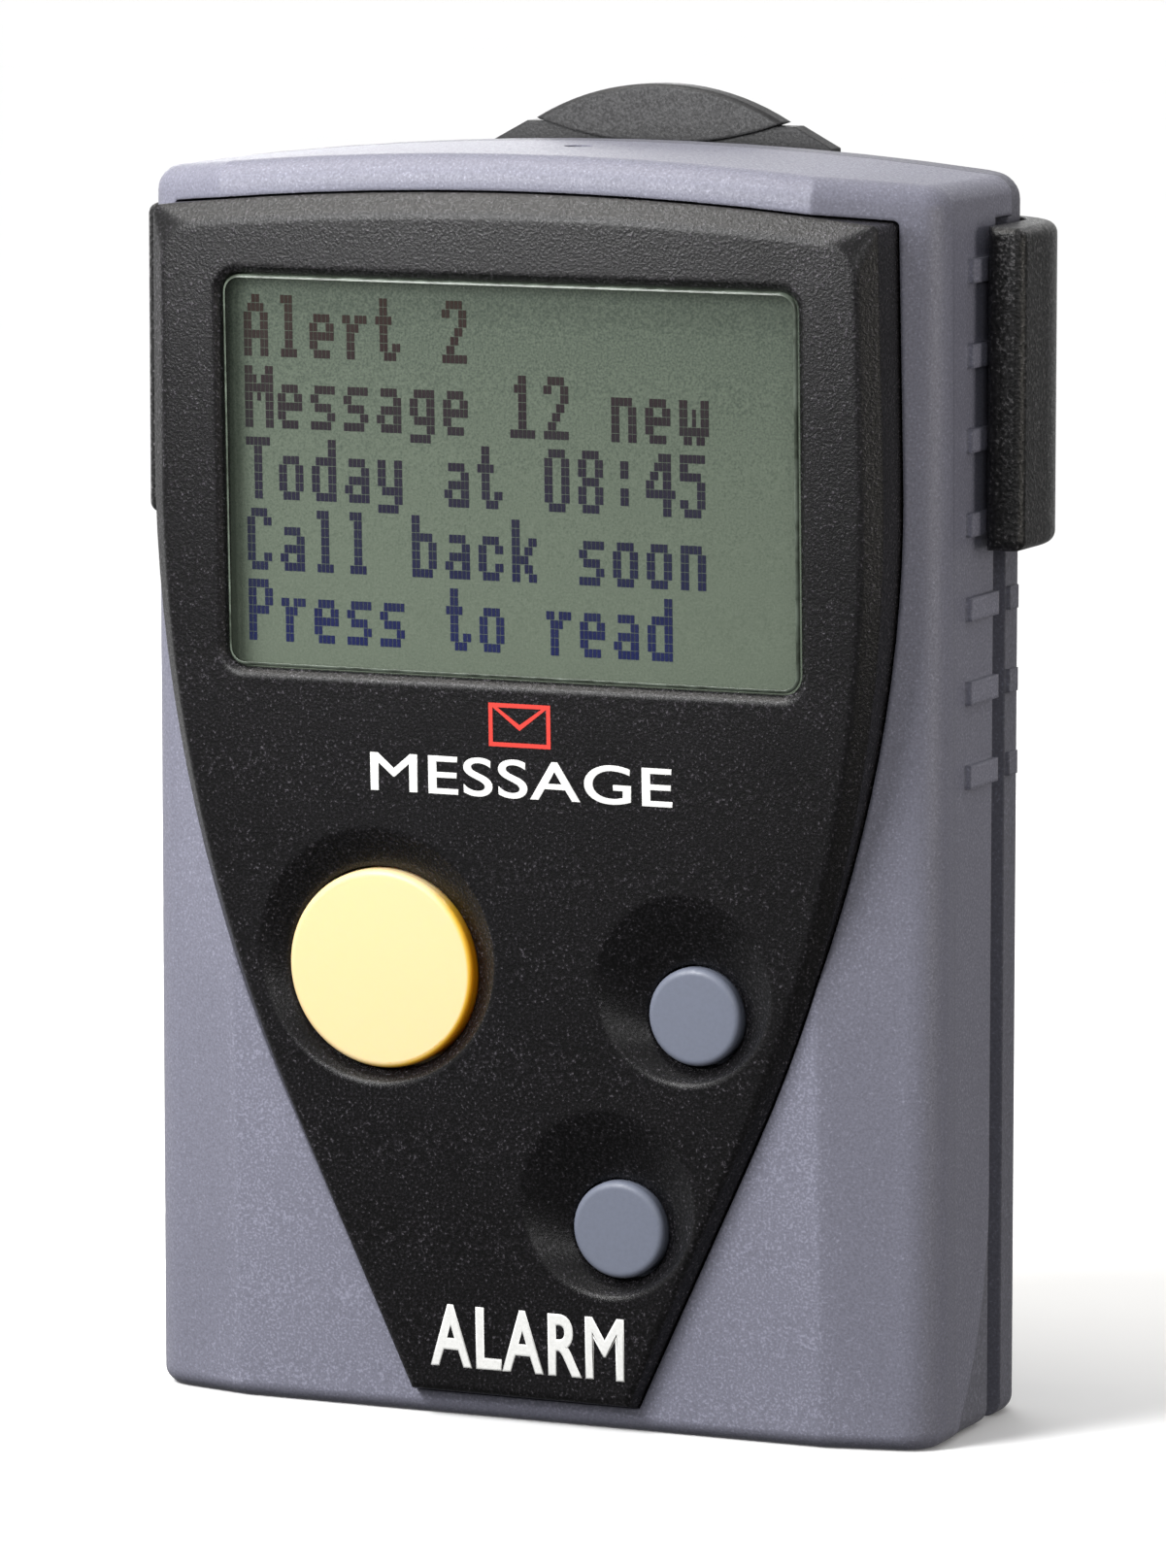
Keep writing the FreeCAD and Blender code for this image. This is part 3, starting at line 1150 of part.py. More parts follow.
def holder_frame():
    """Belt holder: a plate behind the pager, arms round both sides with rails, and two lugs."""
    inner_x = "dims.arm_inner_x"
    outer_x = "(dims.arm_inner_x + dims.arm_thickness)"
    half = [
        (f"{inner_x} - dims.arm_bend_inside", "dims.plate_front_y"),
        (inner_x, "dims.plate_front_y - dims.arm_bend_inside"),
        (inner_x, "dims.arm_front_y + dims.arm_lead_depth"),
        (f"{inner_x} + dims.arm_lead_width", "dims.arm_front_y"),
        (outer_x, "dims.arm_front_y"),
        (outer_x, f"{PLATE_REAR} - dims.arm_bend_outside"),
        (f"{outer_x} - dims.arm_bend_outside", PLATE_REAR),
    ]
    body = new_body("holder_body")
    plan = outline(body, "holder_plan", "XY_Plane", mirrored(half), "dims.arm_low_z", arcs={
        0: "-dims.arm_bend_inside",
        5: "dims.arm_bend_outside",
        7: "dims.arm_bend_outside",
        12: "-dims.arm_bend_inside"})
    pad(body, "holder_wrap", plan, "dims.arm_high_z - dims.arm_low_z")
    rims = (value("dims.arm_low_z"), value("dims.arm_high_z"))
    side_x, rear_y = value("dims.arm_inner_x + dims.arm_thickness"), value(PLATE_REAR)

    def on_outer_rim(middle, ends):
        outside = middle.y > rear_y - 0.02 or abs(middle.x) > side_x - 0.02 or (
            math.hypot(abs(middle.x), middle.y) > math.hypot(side_x, rear_y) - 4.2
            and middle.y > 2)
        return outside and any(all(near(p.z, z) for p in ends) for z in rims)

    soften(body, "arm_rim_round", "Fillet", on_outer_rim, "dims.arm_rim_radius")
    front_y = value("dims.arm_front_y")
    soften(body, "arm_front_round", "Fillet",
           lambda m, ends: near(m.y, front_y) and all(near(p.y, front_y) for p in ends),
           "dims.arm_end_radius")
    notch = rectangle(body, "holder_notch", "XZ_Plane",
                      ("-(dims.lever_half_width + 0.8)", "dims.notch_low_z"),
                      ("dims.lever_half_width + 0.8", TALL), "-(dims.plate_front_y - 1)")
    pocket(body, "holder_notch_cut", notch, "6")
    tongue = block("holder_tongue",
                   ("-dims.tongue_half_width", "dims.plate_front_y", "dims.tongue_low_z"),
                   ("2 * dims.tongue_half_width", "dims.plate_thickness",
                    "dims.arm_low_z + 1 - dims.tongue_low_z"))
    parts = [body, tongue]
    for side, hand in ((-1, "left"), (1, "right")):
        rail_middle = "((dims.parting_y + dims.groove_rear_y) / 2)"
        rail_x = f"({inner_x} - dims.rail_reach)" if side > 0 else f"(-{inner_x} - 0.2)"
        parts.append(block(
            f"rail_{hand}",
            (rail_x, f"{rail_middle} - dims.rail_thickness / 2", "dims.arm_low_z + 0.8"),
            ("dims.rail_reach + 0.2", "dims.rail_thickness",
             "dims.arm_high_z - dims.arm_low_z - 1.6")))
        lug_x = "dims.lug_inner_x" if side > 0 else "-(dims.lug_inner_x + dims.lug_thickness)"
        web = block(f"lug_web_{hand}",
                    (lug_x, f"{PLATE_REAR} - 0.4", "dims.pin_z - dims.lug_radius"),
                    ("dims.lug_thickness", f"dims.pin_y - {PLATE_REAR} + 0.4",
                     "2 * dims.lug_radius"))
        parts += [web, on_pivot(f"lug_{hand}", lug_x, "dims.lug_radius", "dims.lug_thickness")]
    whole = fused("holder_solid", *parts)
    bore = on_pivot("holder_bore", "-20", "dims.pin_radius + 0.01", "40")
    return cut("holder_frame", whole, bore)


def belt_lever():
    """Spring clip lever: toe, long leaf, ears on the pin and the domed thumb tab on top."""
    top_rear = "(dims.lever_top_y + dims.lever_thickness)"
    toe_front = f"({PLATE_REAR} + dims.toe_gap)"
    profile = [
        (toe_front, "dims.lever_low_z"),
        (LEVER_REAR, "dims.lever_low_z"),
        (LEVER_REAR, "dims.lever_neck_z + 0.3"),
        (top_rear, "dims.lever_bend_z + 0.3"),
        (top_rear, "dims.lever_top_z"),
        ("dims.lever_top_y", "dims.lever_top_z"),
        ("dims.lever_top_y", "dims.lever_bend_z"),
        ("dims.lever_front_y", "dims.lever_neck_z"),
        ("dims.lever_front_y", "dims.lever_low_z + dims.toe_height + 2"),
        (toe_front, "dims.lever_low_z + dims.toe_height"),
    ]
    body = new_body("lever_body")
    side = outline(body, "lever_side", "YZ_Plane", profile)
    pad(body, "lever_leaf", side, "2 * dims.lever_half_width", midplane=True)
    for sign, hand in ((-1, "left"), (1, "right")):
        for name, points in (
                (f"shoulder_{hand}", [
                    ("dims.lever_half_width", "dims.lever_shoulder_z"),
                    ("dims.lever_half_width + 2", "dims.lever_shoulder_z"),
                    ("dims.lever_half_width + 2", "dims.lever_top_z + 2"),
                    ("dims.lever_top_half_width", "dims.lever_top_z + 2"),
                    ("dims.lever_top_half_width", "dims.lever_top_z")]),
                (f"taper_{hand}", [
                    ("dims.lever_foot_half_width", "dims.lever_low_z"),
                    ("dims.lever_foot_half_width", "dims.lever_low_z - 2"),
                    ("dims.lever_half_width + 2", "dims.lever_low_z - 2"),
                    ("dims.lever_half_width + 2", "dims.lever_taper_z"),
                    ("dims.lever_half_width", "dims.lever_taper_z")])):
            placed = [(f"{sign} * ({u})", v) for u, v in points]
            corner = outline(body, name, "XZ_Plane", placed)
            pocket(body, f"{name}_cut", corner, "60", midplane=True)
    dome = outline(body, "tab_dome", "XZ_Plane", [
        ("-dims.tab_half_width", "dims.tab_middle_z"),
        ("dims.tab_half_width", "dims.tab_middle_z")],
        "-(dims.tab_front_y + dims.tab_thickness)",
        arcs={
            0: "(dims.tab_half_width ^ 2 + dims.tab_drop ^ 2) / (2 * dims.tab_drop)",
            1: "(dims.tab_half_width ^ 2 + dims.tab_rise ^ 2) / (2 * dims.tab_rise)"})
    pad(body, "tab", dome, "dims.tab_thickness")
    front_y = value("dims.tab_front_y")
    soften(body, "tab_round", "Fillet",
           lambda m, ends: near(m.y, front_y) and m.z > value("dims.tab_middle_z"), "0.35")
    ears = []
    for side_sign, hand in ((-1, "left"), (1, "right")):
        low = "(dims.lug_inner_x + dims.lug_thickness + 0.2)"
        start = low if side_sign > 0 else f"-({low} + dims.lug_thickness)"
        ears += [
            on_pivot(f"ear_{hand}", start, "dims.lug_radius", "dims.lug_thickness"),
            block(f"ear_web_{hand}", (start, "dims.pin_y", "dims.pin_z - dims.lug_radius"),
                  ("dims.lug_thickness", "dims.lever_front_y - dims.pin_y + 0.4",
                   "2 * dims.lug_radius"))]
    bore = on_pivot("lever_bore", "-20", "dims.pin_radius + dims.pivot_gap", "40")
    return cut("belt_lever", fused("lever_solid", body, *ears), bore)


def lever_pin():
    """Steel pin of the clip."""
    return on_pivot("lever_pin", "-dims.pin_length / 2", "dims.pin_radius", "dims.pin_length")


def lever_spring():
    """Torsion spring on the pin: closely wound turns and a leg to each side."""
    pitch = "(2 * dims.spring_wire - 0.1)"
    start = f"(-(dims.spring_turns - 1) / 2 * {pitch})"
    coils = [ring(f"spring_turn_{i}", (f"{start} + {i} * {pitch}", *PIVOT), "x",
                  "dims.spring_radius", "dims.spring_wire")
             for i in range(DIMS["spring_turns"])]
    reach = "6.5"
    fixed_leg = rod("spring_fixed_leg",
                    (start, "dims.pin_y - dims.spring_radius + 0.15", f"dims.pin_z - {reach}"), "z",
                    "dims.spring_wire", reach)
    lever_leg = rod("spring_lever_leg",
                    (f"-{start}", "dims.pin_y + dims.spring_radius - 0.15",
                     f"dims.pin_z - {reach}"), "z", "dims.spring_wire", reach)
    return fused("lever_spring", *coils, fixed_leg, lever_leg)


# ---------------------------------------------------------------- the whole pager
def build():
    """Makes every sub-part and returns them in order."""
    parts = [
        front_shell(), rear_shell(), housing_screws(), front_mask(), display_lens(),
        leaning_plate("lcd_glass", "dims.lcd_width", "dims.lcd_low_z", "dims.lcd_high_z",
                      "dims.lcd_depth", "dims.lcd_thickness"),
        leaning_plate("light_guide", "dims.guide_width", "dims.guide_low_z",
                      "dims.guide_high_z", "dims.guide_depth", "dims.guide_thickness"),
        lcd_frame(), zebra_strip(),
    ]
    parts += [round_key(name) for name in KEYS]
    parts += [keypad_mat()]
    parts += [key_switch(name) for name in KEYS]
    parts += [
        main_board(), shield_can(), chip("decoder_chip", 3.5, 54, 10, 12),
        chip("memory_chip", 5, 45.5, 6, 6), crystal(), ferrite_antenna(), antenna_winding()]
    parts += vibration_motor()
    parts += [sounder()]
    parts += battery()
    parts += [battery_door(), charge_contacts(), holder_frame(), belt_lever(), lever_pin(),
              lever_spring()]
    return parts


def check(parts):
    """Stops if an object failed or a sub-part has no sound shape."""
    doc.recompute()
    failed = [o.Name for o in doc.Objects if "Invalid" in o.State or "Error" in o.State]
    if failed:
        raise RuntimeError(f"failed objects: {failed}")
    for part in parts:
        if part.Shape.isNull() or not part.Shape.isValid() or not part.Shape.Solids:
            raise RuntimeError(f"{part.Name} has no sound shape")


def main():
    """Builds, checks and writes every sub-part to a file named after it."""
    parts = build()
    check(parts)
    os.makedirs("parts", exist_ok=True)
    for part in parts:
        part.Label = part.Name
        part.Shape.exportStep(f"parts/{part.Label}.step")
        print(f"{part.Label}: {len(part.Shape.Solids)} solids, {part.Shape.Volume:.1f} mm3")


main()
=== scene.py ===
import json
import math
import bpy
from mathutils import Matrix, Vector


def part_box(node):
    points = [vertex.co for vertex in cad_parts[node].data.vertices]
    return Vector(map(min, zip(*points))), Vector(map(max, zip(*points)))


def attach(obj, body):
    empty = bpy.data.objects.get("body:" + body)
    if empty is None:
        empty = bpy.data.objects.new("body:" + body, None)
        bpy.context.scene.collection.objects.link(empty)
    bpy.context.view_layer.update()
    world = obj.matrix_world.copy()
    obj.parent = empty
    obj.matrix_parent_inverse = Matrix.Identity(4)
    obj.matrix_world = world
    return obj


# Looks of the pager: materials for every CAD node, the printed legends, the display's dots and
# the studio round them. Metres, in the CAD frame: +Z up, the display faces -Y.

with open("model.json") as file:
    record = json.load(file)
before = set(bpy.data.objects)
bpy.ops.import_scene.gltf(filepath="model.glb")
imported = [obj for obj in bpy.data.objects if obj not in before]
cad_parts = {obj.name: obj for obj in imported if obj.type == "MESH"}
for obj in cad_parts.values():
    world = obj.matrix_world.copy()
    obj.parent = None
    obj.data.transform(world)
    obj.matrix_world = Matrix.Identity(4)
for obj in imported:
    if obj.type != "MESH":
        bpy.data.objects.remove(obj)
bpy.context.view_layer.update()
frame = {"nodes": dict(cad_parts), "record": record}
MM = 0.001
LEAN = 0.031
MASK_FOOT_DEPTH = 13.3 * MM
UPRIGHT = math.radians(90)
EDGE_ROUNDING = 0.25 * MM


# ---------------------------------------------------------------- places on the leaning face
def face_y(z, behind=0.0):
    """Y of the mask's leaning face at height z, or of a parallel plane some way behind it."""
    return -(MASK_FOOT_DEPTH + LEAN * z) + behind


def leaning_matrix(x, z, behind):
    """Frame on the leaning face: local X to the right, local Y up the face, local Z outward."""
    tilt = UPRIGHT + math.atan(LEAN)
    return Matrix.Translation((x, face_y(z, behind), z)) @ Matrix.Rotation(tilt, 4, "X")


# ---------------------------------------------------------------- material building blocks
class Material:
    """A node material with the few nodes that every finish here is made of."""

    def __init__(self, name):
        self.data = bpy.data.materials.new(name)
        self.data.use_nodes = True
        self.tree = self.data.node_tree
        self.surface = self.tree.nodes["Principled BSDF"]
        self.place = self.add("ShaderNodeTexCoord").outputs["Object"]

    def add(self, kind, **inputs):
        """New node with its inputs fed."""
        node = self.tree.nodes.new(kind)
        for key, value in inputs.items():
            self.feed(node.inputs[key.replace("_", " ")], value)
        return node

    def feed(self, socket, value):
        """Links a socket, or sets a plain value."""
        if isinstance(value, bpy.types.NodeSocket):
            self.tree.links.new(value, socket)
        else:
            socket.default_value = value

    def set(self, **inputs):
        """Feeds the surface shader; an underscore in a name stands for a space."""
        for key, value in inputs.items():
            self.feed(self.surface.inputs[key.replace("_", " ")], value)

    def noise(self, size, detail=2.0, rough=0.5):
        """Noise whose features are about size metres across."""
        node = self.add("ShaderNodeTexNoise", Vector=self.place, Scale=1 / size,
                        Detail=detail, Roughness=rough)
        return node.outputs["Fac"]

    def ramp(self, factor, *stops):
        """Colour ramp of (position, colour) stops."""
        node = self.add("ShaderNodeValToRGB", Fac=factor)
        elements = node.color_ramp.elements
        while len(elements) < len(stops):
            elements.new(0.5)
        for element, (position, colour) in zip(elements, stops):
            element.position = position
            element.color = (*colour, 1)
        return node.outputs["Color"]

    def combine(self, operation, first, second):
        """Two values put together by one arithmetic operation."""
        node = self.add("ShaderNodeMath")
        node.operation = operation
        self.feed(node.inputs[0], first)
        self.feed(node.inputs[1], second)
        return node.outputs[0]

    def bump(self, height, distance, normal=None):
        """Normal of a relief whose full height is distance metres."""
        node = self.add("ShaderNodeBump", Height=height, Distance=distance, Strength=1.0)
        if normal is not None:
            self.feed(node.inputs["Normal"], normal)
        return node.outputs["Normal"]


def shade(colour, factor):
    """A colour made lighter or darker, kept below full white."""
    return tuple(min(1.0, c * factor) for c in colour)


def moulded(name, colour, roughness, grain, depth, contrast=0.12, specular=0.5, painted_glint=None,
            rounding=EDGE_ROUNDING):
    """Moulded plastic: a fine spark-eroded grain, slight mottling, lighter worn edges and hollows
    darkened by painted shade.

    contrast is the spread of tone, and the glint factor says how much lighter the grain's tips are:
    painted glints, standing in for light sparkling off the grain.
    """
    m = Material(name)
    fine = m.noise(grain, 3.0, 0.6)
    broad = m.noise(6 * MM, 2.0)
    tone = m.combine("ADD", m.combine("MULTIPLY", fine, 0.95), m.combine("MULTIPLY", broad, 0.05))
    # Convex edges come out lighter as wear; concave hollows come out darker as painted shade.
    curvature = m.add("ShaderNodeNewGeometry").outputs["Pointiness"]
    edge_wear_and_cavity_shade = m.combine("MULTIPLY", m.combine("SUBTRACT", curvature, 0.5), 0.6)
    stops = [(0.36, shade(colour, max(0.0, 1 - contrast))), (0.5, colour),
             (0.64, shade(colour, 1 + contrast))]
    # Painted glints: the grain's highest tips turn much lighter in colour.
    if painted_glint:
        stops += [(0.7, shade(colour, painted_glint))]
    colours = m.ramp(m.combine("ADD", tone, edge_wear_and_cavity_shade), *stops)
    rough = m.add("ShaderNodeMapRange", Value=fine, From_Min=0.35, From_Max=0.65,
                  To_Min=roughness + 0.08, To_Max=roughness - 0.08).outputs["Result"]
    bevel = m.add("ShaderNodeBevel", Radius=rounding).outputs["Normal"]
    m.set(Base_Color=colours, Roughness=rough, Normal=m.bump(fine, depth, bevel))
    m.surface.inputs["Specular IOR Level"].default_value = specular
    return m.data


def metal(name, colour, roughness, axis=2):
    """Drawn or brushed metal: streaks along one axis and faint tarnish."""
    m = Material(name)
    stretch = [1.0, 1.0, 1.0]
    stretch[axis] = 0.03
    mapped = m.add("ShaderNodeMapping", Vector=m.place, Scale=stretch).outputs["Vector"]
    noise = m.add("ShaderNodeTexNoise", Vector=mapped, Scale=9000.0, Detail=2.0)
    streaks = noise.outputs["Fac"]
    tarnish = m.noise(1.5 * MM, 4.0)
    colours = m.ramp(tarnish, (0.35, shade(colour, 0.8)), (0.7, colour))
    rough = m.add("ShaderNodeMapRange", Value=streaks, From_Min=0.3, From_Max=0.7,
                  To_Min=roughness - 0.08, To_Max=roughness + 0.1).outputs["Result"]
    m.set(Base_Color=colours, Metallic=1.0, Roughness=rough, Normal=m.bump(streaks, 2e-6))
    return m.data


def clear_lens():
    """Clear window: nearly invisible over the display, faintly hazed by handling."""
    m = Material("clear_lens")
    haze = m.add("ShaderNodeMapRange", Value=m.noise(2 * MM, 3.0), From_Min=0.3, From_Max=0.7,
                 To_Min=0.04, To_Max=0.07).outputs["Result"]
    m.set(Alpha=haze)
    m.surface.inputs["Base Color"].default_value = (0.12, 0.15, 0.12, 1)
    m.surface.inputs["Roughness"].default_value = 0.04
    return m.data


def lens_edge():
    """Polished bevel of the window: its pale green is painted light, standing in for the glow that
    the glass edge gathers.
    """
    m = Material("lens_edge")
    streak = m.noise(1.2 * MM, 3.0)
    m.set(Base_Color=m.ramp(streak, (0.35, (0.05, 0.062, 0.046)), (0.65, (0.14, 0.17, 0.135))),
          Roughness=0.22, Normal=m.bump(streak, 5e-6))
    return m.data


def height_factor(m, low, high):
    """0 at height low, 1 at height high."""
    z = m.add("ShaderNodeSeparateXYZ", Vector=m.place).outputs["Z"]
    return m.add("ShaderNodeMapRange", Value=z, From_Min=low, From_Max=high).outputs["Result"]


def display_glass():
    """Reflective liquid-crystal panel: gray-green, lighter towards its foot, finely grained."""
    m = Material("display_glass")
    low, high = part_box("lcd_glass")
    up = height_factor(m, low.z, high.z)
    grain = m.noise(0.16 * MM, 2.0)
    speckle = m.combine("MULTIPLY", m.combine("SUBTRACT", grain, 0.38), 1.3)
    level = m.combine("ADD", m.combine("MULTIPLY", up, 0.7), speckle)
    colours = m.ramp(level, (0.0, (0.141, 0.17, 0.128)), (0.5, (0.108, 0.133, 0.099)),
                     (1.0, (0.044, 0.06, 0.045)))
    m.set(Base_Color=colours, Roughness=0.45, Normal=m.bump(grain, 1.6e-5))
    m.surface.inputs["Specular IOR Level"].default_value = 0.2
    return m.data


def display_ink():
    """Driven dots of the display: brown-black at the top, turning blue towards the foot."""
    m = Material("display_ink")
    low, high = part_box("lcd_glass")
    up = height_factor(m, low.z, high.z)
    colours = m.ramp(up, (0.12, (0.002, 0.004, 0.07)), (0.32, (0.006, 0.004, 0.035)),
                     (0.6, (0.014, 0.005, 0.014)), (0.9, (0.024, 0.007, 0.006)))
    m.set(Base_Color=colours, Roughness=0.6, Normal=m.bump(m.noise(0.1 * MM), 2e-6))
    m.surface.inputs["Specular IOR Level"].default_value = 0.1
    return m.data


def printed(name, colour):
    """Pad-printed ink: opaque, with the mask's grain showing through."""
    m = Material(name)
    grain = m.noise(0.2 * MM, 2.0)
    m.set(Base_Color=m.ramp(grain, (0.3, shade(colour, 0.9)), (0.6, colour)), Roughness=0.5,
          Normal=m.bump(grain, 4e-6))
    return m.data


def key_yellow():
    """Translucent yellow key: pale on its face, with a painted glow of deep orange on its walls that
    face right and down.
    """
    m = Material("key_yellow")
    # Painted glow: the orange deepens on walls leaning towards +X and -Z, standing in for light
    # passing through the key.
    painted_glow_side = m.add("ShaderNodeVectorMath", Vector=m.add("ShaderNodeNewGeometry").outputs["Normal"])
    painted_glow_side.operation = "DOT_PRODUCT"
    painted_glow_side.inputs[1].default_value = (0.9, 0.0, -0.43)
    grain = m.noise(0.3 * MM, 2.0)
    colours = m.ramp(painted_glow_side.outputs["Value"], (0.08, (0.93, 0.70, 0.37)),
                     (0.4, (0.98, 0.58, 0.05)), (0.8, (0.95, 0.38, 0.0)))
    m.set(Base_Color=colours, Roughness=0.42, Normal=m.bump(grain, 4e-6))
    m.surface.inputs["Subsurface Weight"].default_value = 0.12
    m.surface.inputs["Subsurface Radius"].default_value = (1.0, 0.6, 0.15)
    m.surface.inputs["Subsurface Scale"].default_value = 0.0015
    return m.data


def board_green():
    """Printed circuit board: solder mask with copper tracks showing through."""
    m = Material("board_green")
    flat = m.add("ShaderNodeMapping", Vector=m.place, Rotation=(UPRIGHT, 0, 0))
    pattern = m.add("ShaderNodeTexBrick", Vector=flat.outputs["Vector"], Scale=420.0,
                    Mortar_Size=0.06, Brick_Width=0.9, Row_Height=0.3)
    tracks = pattern.outputs["Fac"]
    colours = m.ramp(tracks, (0.2, (0.018, 0.13, 0.05)), (0.8, (0.04, 0.22, 0.08)))
    m.set(Base_Color=colours, Roughness=0.3, Normal=m.bump(tracks, 2e-5))
    return m.data


def copper_winding():
    """Enamelled copper wire, turn beside turn."""
    m = Material("copper_wire")
    wave = m.add("ShaderNodeTexWave", Vector=m.place, Scale=2200.0, Distortion=0.4)
    turns = wave.outputs["Fac"]
    colours = m.ramp(turns, (0.2, (0.28, 0.09, 0.03)), (0.8, (0.62, 0.26, 0.1)))
    m.set(Base_Color=colours, Metallic=0.8, Roughness=0.32, Normal=m.bump(turns, 2e-5))
    return m.data


# Slot name to finish: colour, roughness, size of the grain, depth of its relief.
MATERIALS = {
    "front_gray": moulded("front_gray", (0.188, 0.189, 0.24), 0.46, 0.18 * MM, 2e-5,
                          contrast=0.15, specular=0.4, painted_glint=1.6, rounding=0.4 * MM),
    "rear_gray": moulded("rear_gray", (0.135, 0.136, 0.168), 0.5, 0.2 * MM, 1.8e-5,
                         contrast=0.15, specular=0.4, painted_glint=1.6),
    "mask_black": moulded("mask_black", (0.004, 0.0037, 0.0042), 0.3, 0.2 * MM, 3.4e-5,
                          contrast=3.0, specular=0.34, painted_glint=20, rounding=0.5 * MM),
    "clear_lens": clear_lens(),
    "display_glass": display_glass(),
    "diffuser_white": moulded("diffuser_white", (0.75, 0.78, 0.7), 0.3, 0.5 * MM, 3e-6, 0.04),
    "frame_white": moulded("frame_white", (0.62, 0.62, 0.6), 0.5, 0.3 * MM, 6e-6, 0.05),
    "key_yellow": key_yellow(),
    "key_gray": moulded("key_gray", (0.172, 0.189, 0.245), 0.42, 0.3 * MM, 4e-6, 0.05),
    "dark_rubber": moulded("dark_rubber", (0.03, 0.03, 0.033), 0.75, 0.3 * MM, 1e-5, 0.15),
    "silicone_gray": moulded("silicone_gray", (0.28, 0.29, 0.31), 0.6, 0.4 * MM, 5e-6, 0.08),
    "board_green": board_green(),
    "steel": metal("steel", (0.58, 0.58, 0.58), 0.28, 0),
    "tin_plate": metal("tin_plate", (0.66, 0.66, 0.63), 0.4),
    "chip_black": moulded("chip_black", (0.028, 0.028, 0.03), 0.55, 0.15 * MM, 8e-6, 0.2),
    "ferrite_gray": moulded("ferrite_gray", (0.07, 0.07, 0.075), 0.6, 0.25 * MM, 1.5e-5, 0.25),
    "copper_wire": copper_winding(),
    "gilt": metal("gilt", (0.83, 0.6, 0.22), 0.25),
    "cell_jacket": moulded("cell_jacket", (0.07, 0.18, 0.3), 0.28, 0.6 * MM, 3e-6, 0.06),
    "clip_satin": moulded("clip_satin", (0.012, 0.0117, 0.013), 0.45, 0.2 * MM, 1.5e-5,
                          contrast=0.5, specular=0.4),
    "clip_black": moulded("clip_black", (0.007, 0.0068, 0.007), 0.3, 0.26 * MM, 8e-5,
                          contrast=3.0, specular=0.35, painted_glint=16),
}


def finish_nodes():
    """Gives every CAD node the material of its slot; the clip's lever is smoother than its holder."""
    for part in frame["record"]["subparts"]:
        node = frame["nodes"][part["node"]]
        node.data.materials.clear()
        slot = "clip_satin" if part["node"] == "belt_lever" else part["material_slot"]
        node.data.materials.append(MATERIALS[slot])


# ---------------------------------------------------------------- added pieces
def linked_object(name, mesh, material):
    """An object in the scene made of a finished mesh."""
    mesh.materials.append(material)
    piece = bpy.data.objects.new(name, mesh)
    bpy.context.collection.objects.link(piece)
    return piece


def mesh_piece(name, verts, faces, material, smooth=False):
    """A piece given by its points and faces, which rides on the pager."""
    mesh = bpy.data.meshes.new(name)
    mesh.from_pydata(verts, [], faces)
    if smooth:
        mesh.shade_smooth()
    piece = linked_object(name, mesh, material)
    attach(piece, "pager")


# ---------------------------------------------------------------- display contents
# Each character is 8 rows of 8 dots, top row first, rows parted by "/".
GLYPHS = {
    "A": "..##..../.####.../##..##../##..##../######../##..##../##..##../........",
    "C": ".####.../##..##../##....../##....../##....../##..##../.####.../........",
    "M": "##...##./###.###./#######./##.#.##./##...##./##...##./##...##./........",
    "P": "#####.../##..##../##..##../#####.../##....../##....../##....../........",
    "T": "######../..##..../..##..../..##..../..##..../..##..../..##..../........",
    "a": "......../......../.####.../....##../.#####../##..##../.#####../........",
    "b": "##....../##....../#####.../##..##../##..##../##..##../#####.../........",
    "c": "......../......../.####.../##..##../##....../##..##../.####.../........",
    "d": "....##../....##../.#####../##..##../##..##../##..##../.#####../........",
    "e": "......../......../.####.../##..##../######../##....../.####.../........",
    "g": "......../......../.#####../##..##../##..##../.#####../....##../#####...",
    "k": "##....../##....../##..##../##.##.../####..../##.##.../##..##../........",
    "l": ".###..../..##..../..##..../..##..../..##..../..##..../.####.../........",
    "n": "......../......../#####.../##..##../##..##../##..##../##..##../........",
    "o": "......../......../.####.../##..##../##..##../##..##../.####.../........",
    "r": "......../......../##.###../.###..../.##...../.##...../.##...../........",
    "s": "......../......../.#####../##....../.####.../....##../#####.../........",
    "t": ".##...../.##...../####..../.##...../.##...../.##.##../..###.../........",
    "w": "......../......../##...##./##.#.##./##.#.##./#######./.##.##../........",
    "y": "......../......../##..##../##..##../##..##../.#####../....##../#####...",
    "0": ".####.../##..##../##..##../##..##../##..##../##..##../.####.../........",
    "1": "..##..../.###..../..##..../..##..../..##..../..##..../######../........",
    "2": ".####.../##..##../....##../...##.../..##..../.##...../######../........",
    "4": "...###../..####../.##.##../##..##../#######./....##../....##../........",
    "5": "######../##....../#####.../....##../....##../##..##../.####.../........",
    "8": ".####.../##..##../##..##../.####.../##..##../##..##../.####.../........",
    ":": "......../..##..../..##..../......../..##..../..##..../......../........",
    " ": "......../......../......../......../......../......../......../........",
}
LINES = ("Alert 2", "Message 12 new", "Today at 08:45", "Call back soon", "Press to read")
CELL_DOTS = 8
DOT_PITCH_X = 0.312 * MM
DOT_PITCH_Z = 0.616 * MM
DOT_GAP_X = 0.042 * MM
DOT_GAP_Z = 0.045 * MM
TEXT_LEFT = -20.47 * MM
TEXT_TOP = 77.6 * MM
LCD_BEHIND = 2.0 * MM


def driven_dots():
    """Column and row of every dark dot of the message."""
    for line, text in enumerate(LINES):
        for place, character in enumerate(text):
            for row, dots in enumerate(GLYPHS[character].split("/")):
                for column, dot in enumerate(dots):
                    if dot == "#":
                        yield place * CELL_DOTS + column, line * CELL_DOTS + row


